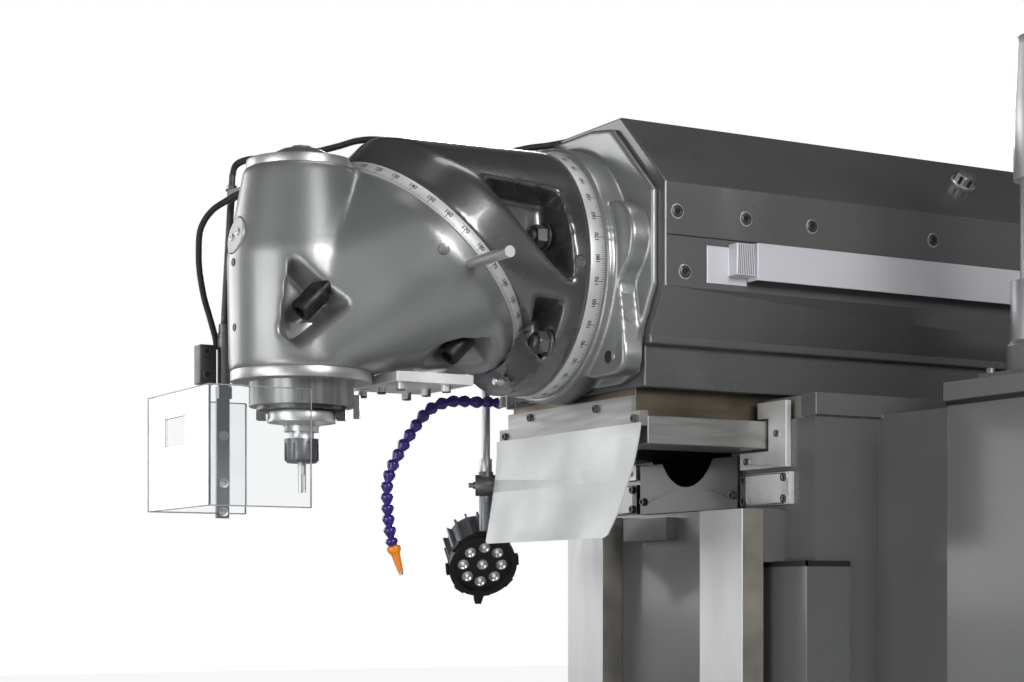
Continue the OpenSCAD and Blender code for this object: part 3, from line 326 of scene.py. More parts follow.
# Pendant: a steel post on the cabinet's tray, a tubular arm and a box of brushed alloy
# that hangs from it, with a green start button and a red stop button.
anodised = shader("anodised", (0.70, 0.71, 0.72), metallic=0.9, rough=0.35, patches=(6, 0.04))
dress("pendant_post", cabinet_coat, 0.001)
dress("pendant_arm", anodised, 0.0015)
dress("pendant_box", anodised, 0.002)
dress("start_button", shader("cap_green", (0.02, 0.30, 0.06), rough=0.35), 0.0006)
dress("stop_button", shader("cap_red", (0.55, 0.015, 0.012), rough=0.35), 0.0015)

# Ram and its adapter: the long eight-sided casting is filled and painted, with crisp
# shoulder lines, and slides on a ground rail; the adapter is cast with soft edges. The
# motor, the drive shaft and the side screws are carried by it.
RAM_SIDE, RAM_SHOULDER, RAM_TOP_HALF, RAM_TOP = 258, 106.5, 140, 220.5
SIDE_SCREWS_Y, SIDE_SCREWS_Z = (471, 592, 713, 948, 1184), AX + 64.5
LOW_SCREW_Y, LOW_SCREW_Z = 484.5, AX - 21
enamel = shader("enamel", (0.265, 0.270, 0.270), metallic=0.62, rough=0.36, coat=0.55, coat_rough=0.16,
                grain=(9, 0.07), bump=(170, 0.00012), patches=(2.6, 0.22))
ram_coat = shader("ram_coat", (0.112, 0.114, 0.112), metallic=0.45, rough=0.30, coat=0.5, coat_rough=0.12,
                  grain=(6, 0.07), bump=(140, 0.00008), patches=(2.2, 0.16))
rail_steel = shader("rail_steel", (0.36, 0.36, 0.35), metallic=0.9, rough=0.36, grain=(40, 0.06, (6, 0.3, 6)),
                    patches=(5, 0.12, (2, 0.5, 2)))
two_tone(rail_steel, "Z", 1.5058, 1.5062, (0.15, 0.125, 0.095))
chamfer = shader("chamfer", (0.50, 0.50, 0.49), metallic=0.8, rough=0.34, patches=(60, 0.3))
bolt_steel = shader("bolt_steel", (0.20, 0.20, 0.195), metallic=0.85, rough=0.30, patches=(50, 0.35), worn=0.6)
for node, mat, edge in (("ram", ram_coat, 0.0022), ("ram_rail", rail_steel, 0.0012), ("ram_adapter", enamel, 0),
                        ("ram_fasteners", black_steel, 0.0004), ("spindle_motor", black_steel, 0),
                        ("drive_shaft", ground, 0)):
    dress(node, mat, edge)
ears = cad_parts["ram_adapter"]
ears.modifiers.clear()
cast = ears.modifiers.new("cast", "REMESH")
cast.mode = "VOXEL"
cast.voxel_size = 0.0026
cast.use_smooth_shade = True
soft = ears.modifiers.new("soft", "SMOOTH")
soft.factor = 0.5
soft.iterations = 7


def settle(o, sharp=32):
    """Applies the modifiers and keeps smooth shading with sharp machined edges."""
    me = bpy.data.meshes.new_from_object(o.evaluated_get(bpy.context.evaluated_depsgraph_get()))
    o.modifiers.clear()
    o.data = me
    return rounded(o, sharp)


def rounded(o, sharp):
    """Shades a piece smooth, but for edges sharper than the angle."""
    o.data.polygons.foreach_set("use_smooth", [True] * len(o.data.polygons))
    o.data.set_sharp_from_angle(angle=math.radians(sharp))
    return o


def circle(n):
    return [(math.cos(t), math.sin(t)) for t in (2 * math.pi * i / n for i in range(n))]


def lathe(name, profile, n=48, mat=None):
    """A turned piece round +Z from (radius, height) pairs in millimetres."""
    bm = bmesh.new()
    rows = [[bm.verts.new((r * c / 1000, r * s / 1000, z / 1000)) for c, s in circle(n)] if r > 0
            else [bm.verts.new((0, 0, z / 1000))] for r, z in profile]
    for a, b in zip(rows, rows[1:]):
        for i in range(n):
            j = (i + 1) % n
            if len(a) == 1 and len(b) == 1:
                continue
            if len(a) == 1:
                bm.faces.new((a[0], b[j], b[i]))
            elif len(b) == 1:
                bm.faces.new((a[i], a[j], b[0]))
            else:
                bm.faces.new((a[i], a[j], b[j], b[i]))
    bmesh.ops.recalc_face_normals(bm, faces=bm.faces)
    return rounded(made(name, bm, mat), 30)


def stand(o, place, axis, spin=0.0):
    """Puts a turned piece at a place in millimetres, with its +Z along axis."""
    turn = Vector(axis).to_track_quat("Z", "Y") @ Matrix.Rotation(spin, 3, "Z").to_quaternion()
    o.matrix_world = Matrix.LocRotScale(Vector(place) / 1000, turn, Vector((1, 1, 1)))
    return o


def socket_cap(name, r, h, mat, n=40):
    """A socket-head screw: plain rim, chamfer and a six-sided socket."""
    o = lathe(name, [(0, h * 0.45), (r * 0.56, h * 0.45), (r * 0.56, h - 0.2), (r * 0.62, h), (r * 0.93, h),
                     (r, h * 0.93), (r, 0), (0, 0)], n, mat)
    sixth = math.pi / 3
    for v in o.data.vertices:
        if 0.3 * r < math.hypot(v.co.x, v.co.y) * 1000 < 0.7 * r:
            around = math.atan2(v.co.y, v.co.x) % sixth - sixth / 2
            k = math.cos(sixth / 2) / math.cos(around) * 1.08
            v.co.x *= k
            v.co.y *= k
    return o


def hex_head(name, flats, h, mat):
    """A hexagon nut or bolt head with a turned crown."""
    corner = flats / 2 / math.cos(math.pi / 6) / 1000

    def prism(sides, foot, top, lift):
        bm = bmesh.new()
        bmesh.ops.create_cone(bm, cap_ends=True, segments=sides, radius1=foot, radius2=top, depth=h / 1000)
        bmesh.ops.translate(bm, verts=bm.verts, vec=(0, 0, h / 2000 + lift))
        return bm

    o = joined(name, [prism(6, corner, corner, 0)])
    crown = joined("crown", [prism(48, corner * 1.35, corner * 0.90, 0.0002)])
    m = o.modifiers.new("crown", "BOOLEAN")
    m.operation = "INTERSECT"
    m.solver = "EXACT"
    m.object = crown
    settle(o, 25)
    bpy.data.objects.remove(crown, do_unlink=True)
    o.data.materials.append(mat)
    return o


for i, y in enumerate((*SIDE_SCREWS_Y, LOW_SCREW_Y)):
    low = y == LOW_SCREW_Y
    for s in ((1,) if low else (1, -1)):
        z = LOW_SCREW_Z if low else SIDE_SCREWS_Z
        hole = lathe(f"side_rim_{i}_{s + 1}", [(8.6, -0.4), (9.0, 0.35), (10.6, 0.30), (11.3, -0.4)], 40,
                     chamfer)
        stand(hole, (s * (RAM_SIDE + 0.1), y, z), (s, 0, 0))
        screw = socket_cap(f"side_screw_{i}_{s + 1}", 7.6, 3.0, black_steel)
        stand(screw, (s * (RAM_SIDE - 1.2), y, z), (s, 0, 0))
        for o in (hole, screw):
            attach(o, "ram_group")

# Lifting bolts on the ram's shoulders: forged steel bolts whose hexagon heads stand on
# turned washers, square to the slope.
LIFTING_X, LIFTING_Y = 184, 1074
slope = math.atan2(RAM_TOP - RAM_SHOULDER, RAM_SIDE - RAM_TOP_HALF)
for s in (1, -1):
    out_way = Vector((s * math.sin(slope), 0, math.cos(slope)))
    seat = Vector((s * LIFTING_X, LIFTING_Y, AX + RAM_TOP - (LIFTING_X - RAM_TOP_HALF) * math.tan(slope)))
    washer = lathe(f"lifting_washer_{s + 1}", [(0, 0), (21.5, 0), (21.5, 2.6), (20.2, 3.6), (0, 3.6)], 48,
                   chamfer)
    head = hex_head(f"lifting_head_{s + 1}", 31, 15, bolt_steel)
    for o, d in ((washer, 0), (head, 3.2)):
        stand(o, seat + out_way * d, out_way, 0.35)
        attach(o, "ram_group")


# Seam of the ram's side panels: a fine joint line that runs along both sides from the
# adapter to the back, filled and painted over.
def smooth_run(points, step):
    """Close-set points on the smooth line through the given ones, in millimetres."""
    line = []
    pts = [Vector(p) for p in points]
    for i in range(len(pts) - 1):
        p0, p1, p2, p3 = pts[max(i - 1, 0)], pts[i], pts[i + 1], pts[min(i + 2, len(pts) - 1)]
        n = max(2, int((p2 - p1).length / step))
        for k in range(n):
            t = k / n
            line.append(0.5 * ((2 * p1) + (p2 - p0) * t + (2 * p0 - 5 * p1 + 4 * p2 - p3) * t * t
                               + (3 * p1 - p0 - 3 * p2 + p3) * t ** 3))
    return line + [pts[-1]]


def way_at(line, i):
    """The direction of a line of points at its point i."""
    return (line[min(i + 1, len(line) - 1)] - line[max(i - 1, 0)]).normalized()


def tube_along(name, points, r, mat, pitch=None, depth=0.6, sides=14, step=1.6):
    """A tube through a smooth line; with a pitch its wall is ribbed. Points in millimetres."""
    line = smooth_run(points, step)
    bm = bmesh.new()
    rows, run, side = [], 0.0, None
    for i, p in enumerate(line):
        d = way_at(line, i)
        if side is None:
            side = d.orthogonal().normalized()
        side = (side - d * side.dot(d)).normalized()
        up = d.cross(side)
        run += (p - line[i - 1]).length if i else 0
        wall = r + (depth * 0.5 * math.sin(2 * math.pi * run / pitch) if pitch else 0)
        rows.append([bm.verts.new((p + wall * (side * c + up * s)) / 1000) for c, s in circle(sides)])
    for a, b in zip(rows, rows[1:]):
        for k in range(sides):
            bm.faces.new((a[k], a[(k + 1) % sides], b[(k + 1) % sides], b[k]))
    bm.faces.new(reversed(rows[0]))
    bm.faces.new(rows[-1])
    o = made(name, bm, mat)
    o.data.polygons.foreach_set("use_smooth", [True] * len(o.data.polygons))
    return o


for s in (-1, 1):
    seam = tube_along(f"panel_line_{s + 1}", [(s * RAM_SIDE, y, AX + 31) for y in (453, 1120, 1788)], 0.9,
                      black_and_painted_shade, sides=6, step=6)
    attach(seam, "ram_group")

# Adapter's ears: the cast lugs beside the ring, an even S-shaped band with a rolled front
# edge; the same paint as the head.
EAR_LINE = [(120, 92), (160, 91), (190, 86.5), (212, 76), (226, 61), (232.6, 44), (233.4, 28), (229, 11),
            (219, -6), (206, -19), (199, -30), (198, -44), (202, -76), (208, -112), (211.5, -136), (208, -152),
            (196, -161.5), (170, -165), (120, -165)]
EAR_EDGE = ((441, 0), (417, 0), (413.4, 0.6), (411.0, 2.2), (409.9, 4.6), (409.7, 7.5))
for name, side in (("ear_right", 1), ("ear_left", -1)):
    line = smooth_run([(x, q, 0) for x, q in EAR_LINE], 2.5)
    out = [Vector((-way_at(line, i).y, way_at(line, i).x, 0)) for i in range(len(line))]
    bm = bmesh.new()
    rows = []
    for y, inset in EAR_EDGE:
        edge = [p - o * inset for p, o in zip(line, out)]
        rows.append([bm.verts.new((side * p.x / 1000, y / 1000, (AX + p.y) / 1000)) for p in edge])
    for a, b in zip(rows, rows[1:]):
        for i in range(len(line) - 1):
            bm.faces.new((a[i], a[i + 1], b[i + 1], b[i]))
    bm.faces.new(rows[-1])
    bm.faces.new(list(reversed(rows[0])))
    bm.faces.new([r[0] for r in rows] + [r[-1] for r in reversed(rows)])
    bmesh.ops.recalc_face_normals(bm, faces=bm.faces)
    ear = rounded(joined(name, [bm], enamel), 40)
    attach(ear, "ram_group")

# Rule on the ram's side: a drawn alloy cover over the scale, and an end block with fine
# saw-cut grooves on its outer face.
BLOCK_FACE, FIRST_GROOVE, GROOVE_PITCH, GROOVE_LEAN = 280.1, 563.5, 3.3, 1.2
rule_alloy = shader("rule_alloy", (0.62, 0.625, 0.66), metallic=0.3, rough=0.40, grain=(4, 0.04),
                    patches=(3, 0.06))
ink = shader("engraving", (0.02, 0.02, 0.02), rough=0.6)
dress("rule_cover", rule_alloy, 0.0008)
for i in range(9):
    y = FIRST_GROOVE + i * GROOVE_PITCH
    groove = tube_along(f"rule_groove_{i}", [(BLOCK_FACE, y - GROOVE_LEAN, AX - 20.5),
                                             (BLOCK_FACE, y + GROOVE_LEAN, AX + 22.5)], 0.42, ink,
                        sides=6, step=60)
    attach(groove, "ram_group")

# Chip guard under the ram: a dull bent metal sheet, screwed to a milled steel bar that
# hangs under the adapter. The bar keeps its sawn edges, and the sheet's are deburred.
bar_steel = shader("bar_steel", (0.27, 0.272, 0.268), metallic=0.6, rough=0.42, grain=(30, 0.07, (0.4, 3, 6)),
                   patches=(10, 0.22, (0.5, 3, 4)))
dull_sheet = shader("chip_sheet", (0.56, 0.575, 0.575), metallic=0.3, rough=0.44, grain=(7, 0.10),
                    bump=(4, 0.003), patches=(9, 0.14))
dress("chip_guard_bar", bar_steel)
dress("chip_guard_sheet", dull_sheet, 0.0005)

# Dark socket screws let into the bright plates: four in each wiper plate, two in the
# notched plate, and those of the wipers and of the chip guard's bar.
RAIL_TOP, RAIL_BOTTOM = AX - 224.5, AX - 265.5
WIPER_Y, PLATE_Y, NOTCH_Y, GUARD_BAR_Y = 661.5, 662.5, 663.5, 434.5
plate_holes = [(s * 206 + dx, AX + dz) for s in (-1, 1) for dx in (-50, 50) for dz in (-342, -310)]
bar_holes = [(x, AX + q) for x, q in ((-100, -205), (95, -207), (-180, -229), (200, -229))]
for i, (body, x, y, z, r) in enumerate(
        [("stand", x, PLATE_Y, z, 6.3) for x, z in plate_holes]
        + [("stand", s * 125, NOTCH_Y, AX - 331, 6.3) for s in (-1, 1)]
        + [("stand", s * 240, WIPER_Y, RAIL_TOP - 20, 5.3) for s in (-1, 1)]
        + [("stand", s * 165, WIPER_Y, RAIL_BOTTOM - 17, 5.3) for s in (-1, 1)]
        + [("ram_group", x, GUARD_BAR_Y, z, 5.8) for x, z in bar_holes]):
    screw = socket_cap(f"dark_screw_{i}", r, 3.2, black_steel)
    stand(screw, (x, y, z), (0, -1, 0))
    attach(screw, body)

# Coolant hose: snap-together plastic links, each a ball neck that widens into a socket,
# blue, with a moulded orange nozzle and a bent grey tip; a small alloy block feeds it.
HOSE_X = -200
HOSE_ROUTE = [(434.7, -173.0), (414.3, -172.7), (394.1, -173.5), (372.2, -173.4), (352.2, -174.1),
              (331.6, -178.5), (312.7, -186.8), (297.6, -199.6), (285.0, -214.9), (273.6, -230.7),
              (262.8, -246.4), (253.2, -262.4), (244.0, -278.5), (237.2, -295.0), (233.5, -312.4),
              (233.2, -329.7), (234.2, -347.3), (235.5, -364.2), (238.0, -382.0), (241.2, -399.2),
              (246.0, -413.4)]
LINK_SHAPE = ((5.6, -0.34), (7.4, -0.30), (9.2, -0.16), (10.0, -0.02), (9.9, 0.10), (9.0, 0.22), (6.9, 0.46),
              (5.5, 0.60), (5.2, 0.70))
hose_blue = shader("hose_blue", (0.035, 0.016, 0.19), rough=0.26, coat=0.4, patches=(30, 0.15))
orange = shader("hose_orange", (0.92, 0.29, 0.02), rough=0.35, patches=(90, 0.05))
turned = shader("turned_steel", (0.56, 0.56, 0.55), metallic=0.9, rough=0.38, grain=(60, 0.05, (1, 1, 12)),
                patches=(20, 0.08))
dress("coolant_hose", hose_blue)
dress("hose_nozzle", orange, 0.0004)
beads = [Vector((HOSE_X, y, AX + q)) for y, q in HOSE_ROUTE]
for i, (a, b) in enumerate(zip(beads, beads[1:])):
    span = (b - a).length
    link = lathe(f"hose_link_{i}", [(0, LINK_SHAPE[0][1] * span), *[(r, k * span) for r, k in LINK_SHAPE],
                                    (0, LINK_SHAPE[-1][1] * span)], 32, hose_blue)
    stand(link, a, b - a)
    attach(link, "ram_group")
    if i == 0:
        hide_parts("coolant_hose")
tip_way = Vector((0, 16, -48)).normalized()
nozzle = lathe("nozzle_body", [(0, 7.5), (8.0, 7.5), (10.2, 9), (11, 12), (10.9, 15), (9.8, 18), (7.6, 20.5),
                               (6.9, 24), (4.3, 51), (0, 51)], 40, orange)
stand(nozzle, beads[-2], tip_way)
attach(nozzle, "ram_group")
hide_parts("hose_nozzle")
tip = lathe("nozzle_tip", [(0, 50), (3.5, 50), (3.3, 56), (2.3, 56), (2.1, 52), (0, 52)], 24, turned)
stand(tip, beads[-2], tip_way)
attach(tip, "ram_group")


def eased_block(name, corners, width, segments, mat):
    """A milled block with its edges broken."""
    o = joined(name, [hull(boxed(*corners))])
    b = o.modifiers.new("edge", "BEVEL")
    b.width = width
    b.segments = segments
    settle(o, 40).data.materials.append(mat)
    return o


valve = eased_block("valve_block", (-205, -186, 430.2, 440.5, AX - 181, AX - 164), 0.0015, 3, alloy)
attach(valve, "ram_group")

# Work lamp: a cast elbow and a finned body on a turned tube. Eight clear lenses stand round
# a ninth in a black bezel, each a small domed cup with a bright chip inside; a tab below.
elbow_grey = shader("elbow_grey", (0.17, 0.17, 0.174), metallic=0.6, rough=0.38, bump=(300, 0.0001))
lamp_grey = shader("lamp_alloy", (0.27, 0.28, 0.30), metallic=0.6, rough=0.42, bump=(300, 0.0001))
lens_glass = shader("lens_glass", (0.50, 0.52, 0.53), metallic=0.55, rough=0.14, coat=0.9, coat_rough=0.04,
                    patches=(90, 0.5))
chip_white = shader("lamp_chip", (0.92, 0.93, 0.90), rough=0.3, emission=0.25)
dress("lamp_tube", turned, 0.0005)
dress("lamp_elbow", elbow_grey, 0.001)
dress("lamp_body", lamp_grey, 0.0006)
dress("lamp_face", black_and_painted_shade, 0.0006)
LAMP_MIDDLE = Vector((-232, 423, 1291.5))
LAMP_WAY = Vector((0.807, -0.24, -0.54)).normalized()
LAMP_DOWN = Vector((-0.518, 0.154, -0.842))
LAMP_ACROSS = Vector((0.285, 0.9585, 0))
LENS_RING = 32
for i in range(9):
    a = 2 * math.pi * i / 8
    off = (LAMP_DOWN * math.cos(a) + LAMP_ACROSS * math.sin(a)) * (LENS_RING if i < 8 else 0)
    cup = lathe(f"lens_{i}", [(0, 1.2), (3.2, 1.4), (6.6, 3.4), (7.9, 4.9), (9.2, 4.9), (9.5, 4.1), (7.8, 3.9),
                              (7.8, 0.2), (0, 0.2)], 28, lens_glass)
    chip = lathe(f"lens_chip_{i}", [(0, 2.6), (2.2, 2.3), (3.1, 1.3), (3.1, 1.0), (0, 1.0)], 18, chip_white)
    for o in (cup, chip):
        stand(o, LAMP_MIDDLE - LAMP_WAY * 12 + off, LAMP_WAY)
        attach(o, "lamp")
TAB_CORNERS = ((50, -9), (50, 9), (72, -5), (72, 5))
tab = joined("lamp_tab", [hull([LAMP_MIDDLE - LAMP_WAY * a + LAMP_DOWN * b + LAMP_ACROSS * c
                                for a in (1, 15) for b, c in TAB_CORNERS])], black_and_painted_shade)
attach(tab, "lamp")


# Knuckle: one iron casting from the slanted ring to the upright ring on the ram, with
# cast pockets for the swing nuts at both sides; sprayed in a darker enamel.
DIAG = math.sqrt(0.5)
KNUCKLE_R, LIP_R, RING_R = 184, 184.5, 186.3
BEHIND_DISC, RAM_FACE = 8.6, 370.8
NUT_POCKET = ((205, ((170, 120), (336, 112), (350, -50), (306, -18))),
              (112, ((244, 88), (330, 82), (336, 0), (306, 14))))
FOOT_POCKET = ((190, ((286, -52), (336, -58), (336, -156), (296, -120))),
               (92, ((300, -78), (334, -80), (334, -140), (306, -118))))


def slant(x, y, level):
    """A point given on the slanted swivel axis, in millimetres of the row frame."""
    return Vector((x, 190 + DIAG * (y + level), AX + DIAG * (level - y)))


def ring_points(centre, u, v, r, n=72):
    return [Vector(centre) + r * (c * Vector(u) + s * Vector(v)) for c, s in circle(n)]


def upright(z, r):
    """A circle round the spindle's axis."""
    return ring_points((0, 0, z), (1, 0, 0), (0, 1, 0), r)


def slanted_ring(level, r):
    return ring_points(slant(0, 0, level), (1, 0, 0), (0, DIAG, -DIAG), r, 96)


def along(y, r):
    """A circle round the ram's axis."""
    return ring_points((0, y, AX), (1, 0, 0), (0, 0, 1), r, 96)


def slant_boxed(half, y0, y1, l0, l1):
    return [slant(x, y, l) for x in (-half, half) for y in (y0, y1) for l in (l0, l1)]


def casting(name, parts, pockets, machined, first, second, voxel=0.0032):
    """Union of hulls, softened, less its cast pockets, softened again, then cut by the machined faces."""
    o = joined(name, parts)
    cutters = []

    def add(kind, **settings):
        m = o.modifiers.new(kind.lower(), kind)
        for key, value in settings.items():
            setattr(m, key, value)

    def cut(cutter):
        cutters.append(cutter)
        add("BOOLEAN", operation="DIFFERENCE", solver="EXACT", object=cutter)

    add("REMESH", mode="VOXEL", voxel_size=voxel)
    add("SMOOTH", factor=0.5, iterations=first)
    cut(joined("pockets", pockets))
    add("REMESH", mode="VOXEL", voxel_size=voxel)
    add("SMOOTH", factor=0.5, iterations=second)
    for bm in machined:
        cut(joined("cut", [bm]))
    settle(o)
    for cutter in cutters:
        bpy.data.objects.remove(cutter, do_unlink=True)
    return o


def both_sides(groups):
    """The same pocket cutter on both sides of a casting."""
    return [hull(*groups), hull(*[[Vector((-p.x, p.y, p.z)) for p in g] for g in groups])]


def pocket(outline):
    """A cutter from (x, ((y, height), ...)) outlines, the outer one first."""
    return both_sides([[Vector((x, y, AX + q)) for y, q in row] for x, row in outline])


dark_enamel = shader("dark_enamel", (0.112, 0.114, 0.114), metallic=0.62, rough=0.28, coat=0.7, coat_rough=0.07,
                     grain=(9, 0.06), bump=(150, 0.00012), patches=(5, 0.25))
knuckle = casting(
    "knuckle_casting",
    [hull(slanted_ring(6, KNUCKLE_R), slanted_ring(67, LIP_R), along(330, KNUCKLE_R), along(374, LIP_R)),
     hull(along(322, KNUCKLE_R - 6), along(330, KNUCKLE_R), along(374, LIP_R))],
    pocket(NUT_POCKET) + pocket(FOOT_POCKET),
    [hull(slanted_ring(-120, RING_R), slanted_ring(BEHIND_DISC, RING_R)),
     hull(slant_boxed(300, -400, 150, -300, BEHIND_DISC)),
     hull(slant_boxed(300, -400, 400, -300, -28.8)),
     hull(boxed(-300, 300, RAM_FACE, RAM_FACE + 49.2, AX - 300, AX + 300))],
    first=12, second=20)
knuckle.data.materials.append(dark_enamel)
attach(knuckle, "knuckle_group")
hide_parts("knuckle")
dress("swivel_shaft", ground)

# Nuts on the swing studs: black hexagon nuts on thick washers at the bottom of the
# pockets, each with its stud's end standing out.
POCKET_FLOOR = 333
dress("knuckle_nuts", black_steel, 0.0008)
for i, (x, q) in enumerate(((119, 37), (-119, 37), (124.5, -118), (-124.5, -118))):
    washer = lathe(f"stud_washer_{i}", [(0, 0), (20, 0), (20, 3.2), (19.2, 4), (0, 4)], 48, black_steel)
    nut = hex_head(f"stud_nut_{i}", 30, 16, black_steel)
    end = lathe(f"stud_end_{i}", [(0, 0), (10, 0), (10, 25), (8.6, 26.5), (0, 26.5)], 32, black_steel)
    for o, d in ((washer, 0), (nut, 4), (end, 0)):
        stand(o, (x, POCKET_FLOOR - d, AX + q), (0, -1, 0), 0.3 * i)
        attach(o, "knuckle_group")
    if i == 0:
        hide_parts("knuckle_nuts")

# Filler fitting low on the knuckle: a turned nipple screwed into a black hexagon seat,
# for the grease of the swing joint.
for name, profile, n, mat in (
        ("filler_seat", [(0, -4), (9, -4), (9, 4), (7.8, 5), (0, 5)], 6, black_steel),
        ("filler_nipple", [(0, 5), (6.5, 5), (6.5, 8.5), (4.2, 9.5), (4.2, 14), (5.4, 15.5), (5.0, 18),
                           (0, 18.6)], 28, turned)):
    o = lathe(name, profile, n, mat)
    stand(o, (39, 310.4, AX - 168), (0, -1, 0))
    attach(o, "knuckle_group")

# Swivel head casting: one iron casting that runs from the upright spindle quill into
# the slanted disc, with cast pockets round its four clamping bolts; painted. A round
# cover is let into its front.
QUILL = ((-172, 101.5), (-158, 103.5), (-7, 106), (122, 82))
QUILL_ROOT = ((-167, 98), (-40, 94))
DISC = ((6, 182), (-34, 183))
DISC_FACE, QUILL_FOOT, DISC_FOOT = -10.5, AX - 167.4, AX - 168
CAP_SEAT, CAP_SEAT_R, COVER_SEAT_R = AX + 113.6, 78.9, 27.4
COVER_WAY = Vector((0, -0.983, 0.183))
COVER_AT = Vector((0, -96.4, AX + 19))
FRONT_POCKET = ((-70, -128), (-56, -8), (20, -82), (-46, -148))


def shrunk(outline, x, k):
    """A pocket's outline at the depth x, k times as wide."""
    cy, cz = (sum(p[axis] for p in outline) / len(outline) for axis in (0, 1))
    return [Vector((x, cy + (y - cy) * k, AX + cz + (z - cz) * k)) for y, z in outline]


def cover_seat(out, r):
    """A circle round the front cover's axis, for its sunk seat."""
    return ring_points(COVER_AT + COVER_WAY * out, (1, 0, 0), COVER_WAY.cross(Vector((1, 0, 0))), r)


low_pocket = [[slant(x, y, l) for x in (70, 125) for y in (82, 190) for l in (-130, -52)],
              [slant(118, y, l) for y in (70, 200) for l in (-150, -44)]]
housing = casting(
    "head_casting",
    [hull(*[upright(AX + z, r) for z, r in QUILL]),
     hull(*[slanted_ring(level, r) for level, r in DISC], *[upright(AX + z, r) for z, r in QUILL_ROOT])],
    both_sides([shrunk(FRONT_POCKET, 135, 1.14), shrunk(FRONT_POCKET, 52, 0.72)]) + both_sides(low_pocket),
    [hull(slant_boxed(300, -300, 300, DISC_FACE, 200)),
     hull(boxed(-200, 200, -200, 103, AX - 260, QUILL_FOOT)),
     hull(boxed(-220, 220, 90, 330, AX - 260, DISC_FOOT)),
     hull(upright(CAP_SEAT, CAP_SEAT_R), upright(AX + 200, CAP_SEAT_R)),
     hull(cover_seat(0, COVER_SEAT_R), cover_seat(40, COVER_SEAT_R))],
    first=14, second=26)
housing.data.materials.append(enamel)
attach(housing, "head")
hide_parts("spindle_housing")
dress("head_cap", enamel, 0.001)
ring_steel = shader("ring_steel", (0.30, 0.30, 0.295), metallic=0.85, rough=0.36, grain=(60, 0.08, (6, 6, 0.3)),
                    patches=(30, 0.30, (4, 4, 0.2)))
two_tone(ring_steel, "Z", 1.5472, 1.5476, (0.52, 0.525, 0.52))
dress("head_rings", ring_steel, 0.001)
dress("index_pin", turned, 0.001)

cover_paint = shader("cover_paint", (0.42, 0.43, 0.43), metallic=0.3, rough=0.4, patches=(40, 0.08))
cover = lathe("front_cover", [(0, 0.2), (25.9, 0.2), (25.9, 4.2), (25.2, 5.0), (0, 5.0)], 64, cover_paint)
stand(cover, COVER_AT, COVER_WAY)
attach(cover, "head")
for i, (x, z) in enumerate(((-10.5, -2), (9, 3))):
    screw = lathe(f"cover_screw_{i}", [(0, 1.0), (2.2, 1.0), (2.2, 2.4), (4.8, 2.2), (5.6, 0.4), (6.4, 0.3),
                                       (6.4, -1), (0, -1)], 28, turned)
    stand(screw, COVER_AT + COVER_WAY * 5.0 + Vector((x, 0.186 * z, z)), COVER_WAY)
    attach(screw, "head")

# Clamping bolts of the head: black-oxide socket heads deep in the pockets, whose shanks
# run on into the knuckle's circular tee slot.
dress("head_bolts", black_steel, 0.0008)
bolt_black = shader("bolt_black", (0.016, 0.015, 0.014), metallic=0.1, rough=0.42, grain=(90, 0.12),
                    patches=(70, 0.5), spec=0.35)
slant_way = slant(0, 0, 1) - slant(0, 0, 0)
for i, (x, y, level) in enumerate(((95, -98, -190), (-95, -98, -190), (95, 98, -62), (-95, 98, -62))):
    bolt = socket_cap(f"clamping_bolt_{i}", 16.4, 43, bolt_black)
    stand(bolt, slant(x, y, level - 0.3), -slant_way)
    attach(bolt, "head")
    if i == 0:
        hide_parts("head_bolts")
    shank = lathe(f"clamping_shank_{i}", [(0, 0), (11, 0), (11, 60), (0, 60)], 32, bolt_black)
    stand(shank, slant(x, y, level - 2), slant_way)
    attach(shank, "head")

# Bottom plate of the head: a milled alloy plate, held from below by six black socket screws.
PLATE_FOOT = AX - 182.6
dress("bottom_plate", alloy, 0.0015)
for i, (x, y) in enumerate(((16, 119), (79, 119), (16, 192), (79, 192), (-48, 119), (-48, 192))):
    screw = socket_cap(f"plate_screw_{i}", 6.5, 11, black_steel)
    stand(screw, (x, y, PLATE_FOOT), (0, 0, -1))
    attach(screw, "head")

# Plugs and drilled holes over the castings: black-oxide socket screws sunk in counterbores,
# painted or bright plugs, and plain holes drawn as black discs of painted shade. All have a bevelled rim.
for i, (body, place, axis, r, mat) in enumerate((
        ("knuckle_group", (184.2, 353.0, 1724.2), (1, 0, -0.04), 7.4, dark_enamel),
        ("knuckle_group", (-184.2, 353.0, 1724.2), (-1, 0, -0.04), 7.4, dark_enamel),
        ("ram_group", (205.4, 423.3, 1649.2), (0.99, 0, 0.14), 7.5, enamel),
        ("ram_group", (170.1, 409.6, 1591.5), (0, -1, 0), 7.5, black_and_painted_shade),
        ("ram_group", (182.5, 409.6, 1591.2), (0, -1, 0), 3.6, turned),
        ("head", (177.5, 137.0, 1724.4), (0.97, -0.2, 0.1), 6.0, black_steel),
        ("head", (-177.5, 137.0, 1724.4), (-0.97, -0.2, 0.1), 6.0, black_steel),
        ("head", (4, -105.6, 1711), (0, -1, 0), 4.2, black_and_painted_shade),
        ("head", (4, -103.8, 1620), (0, -1, 0), 4.2, black_and_painted_shade))):
    rim = r * 1.22
    plug_and_shade_disc = lathe(f"plug_{i}", [(0, 0), (r, 0), (r, 0.25), (rim, 0.45), (rim + 0.6, 0), (rim + 0.6, -1),
                               (0, -1)], 36, mat)
    stand(plug_and_shade_disc, Vector(place) + Vector(axis).normalized() * 0.2, axis)
    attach(plug_and_shade_disc, body)

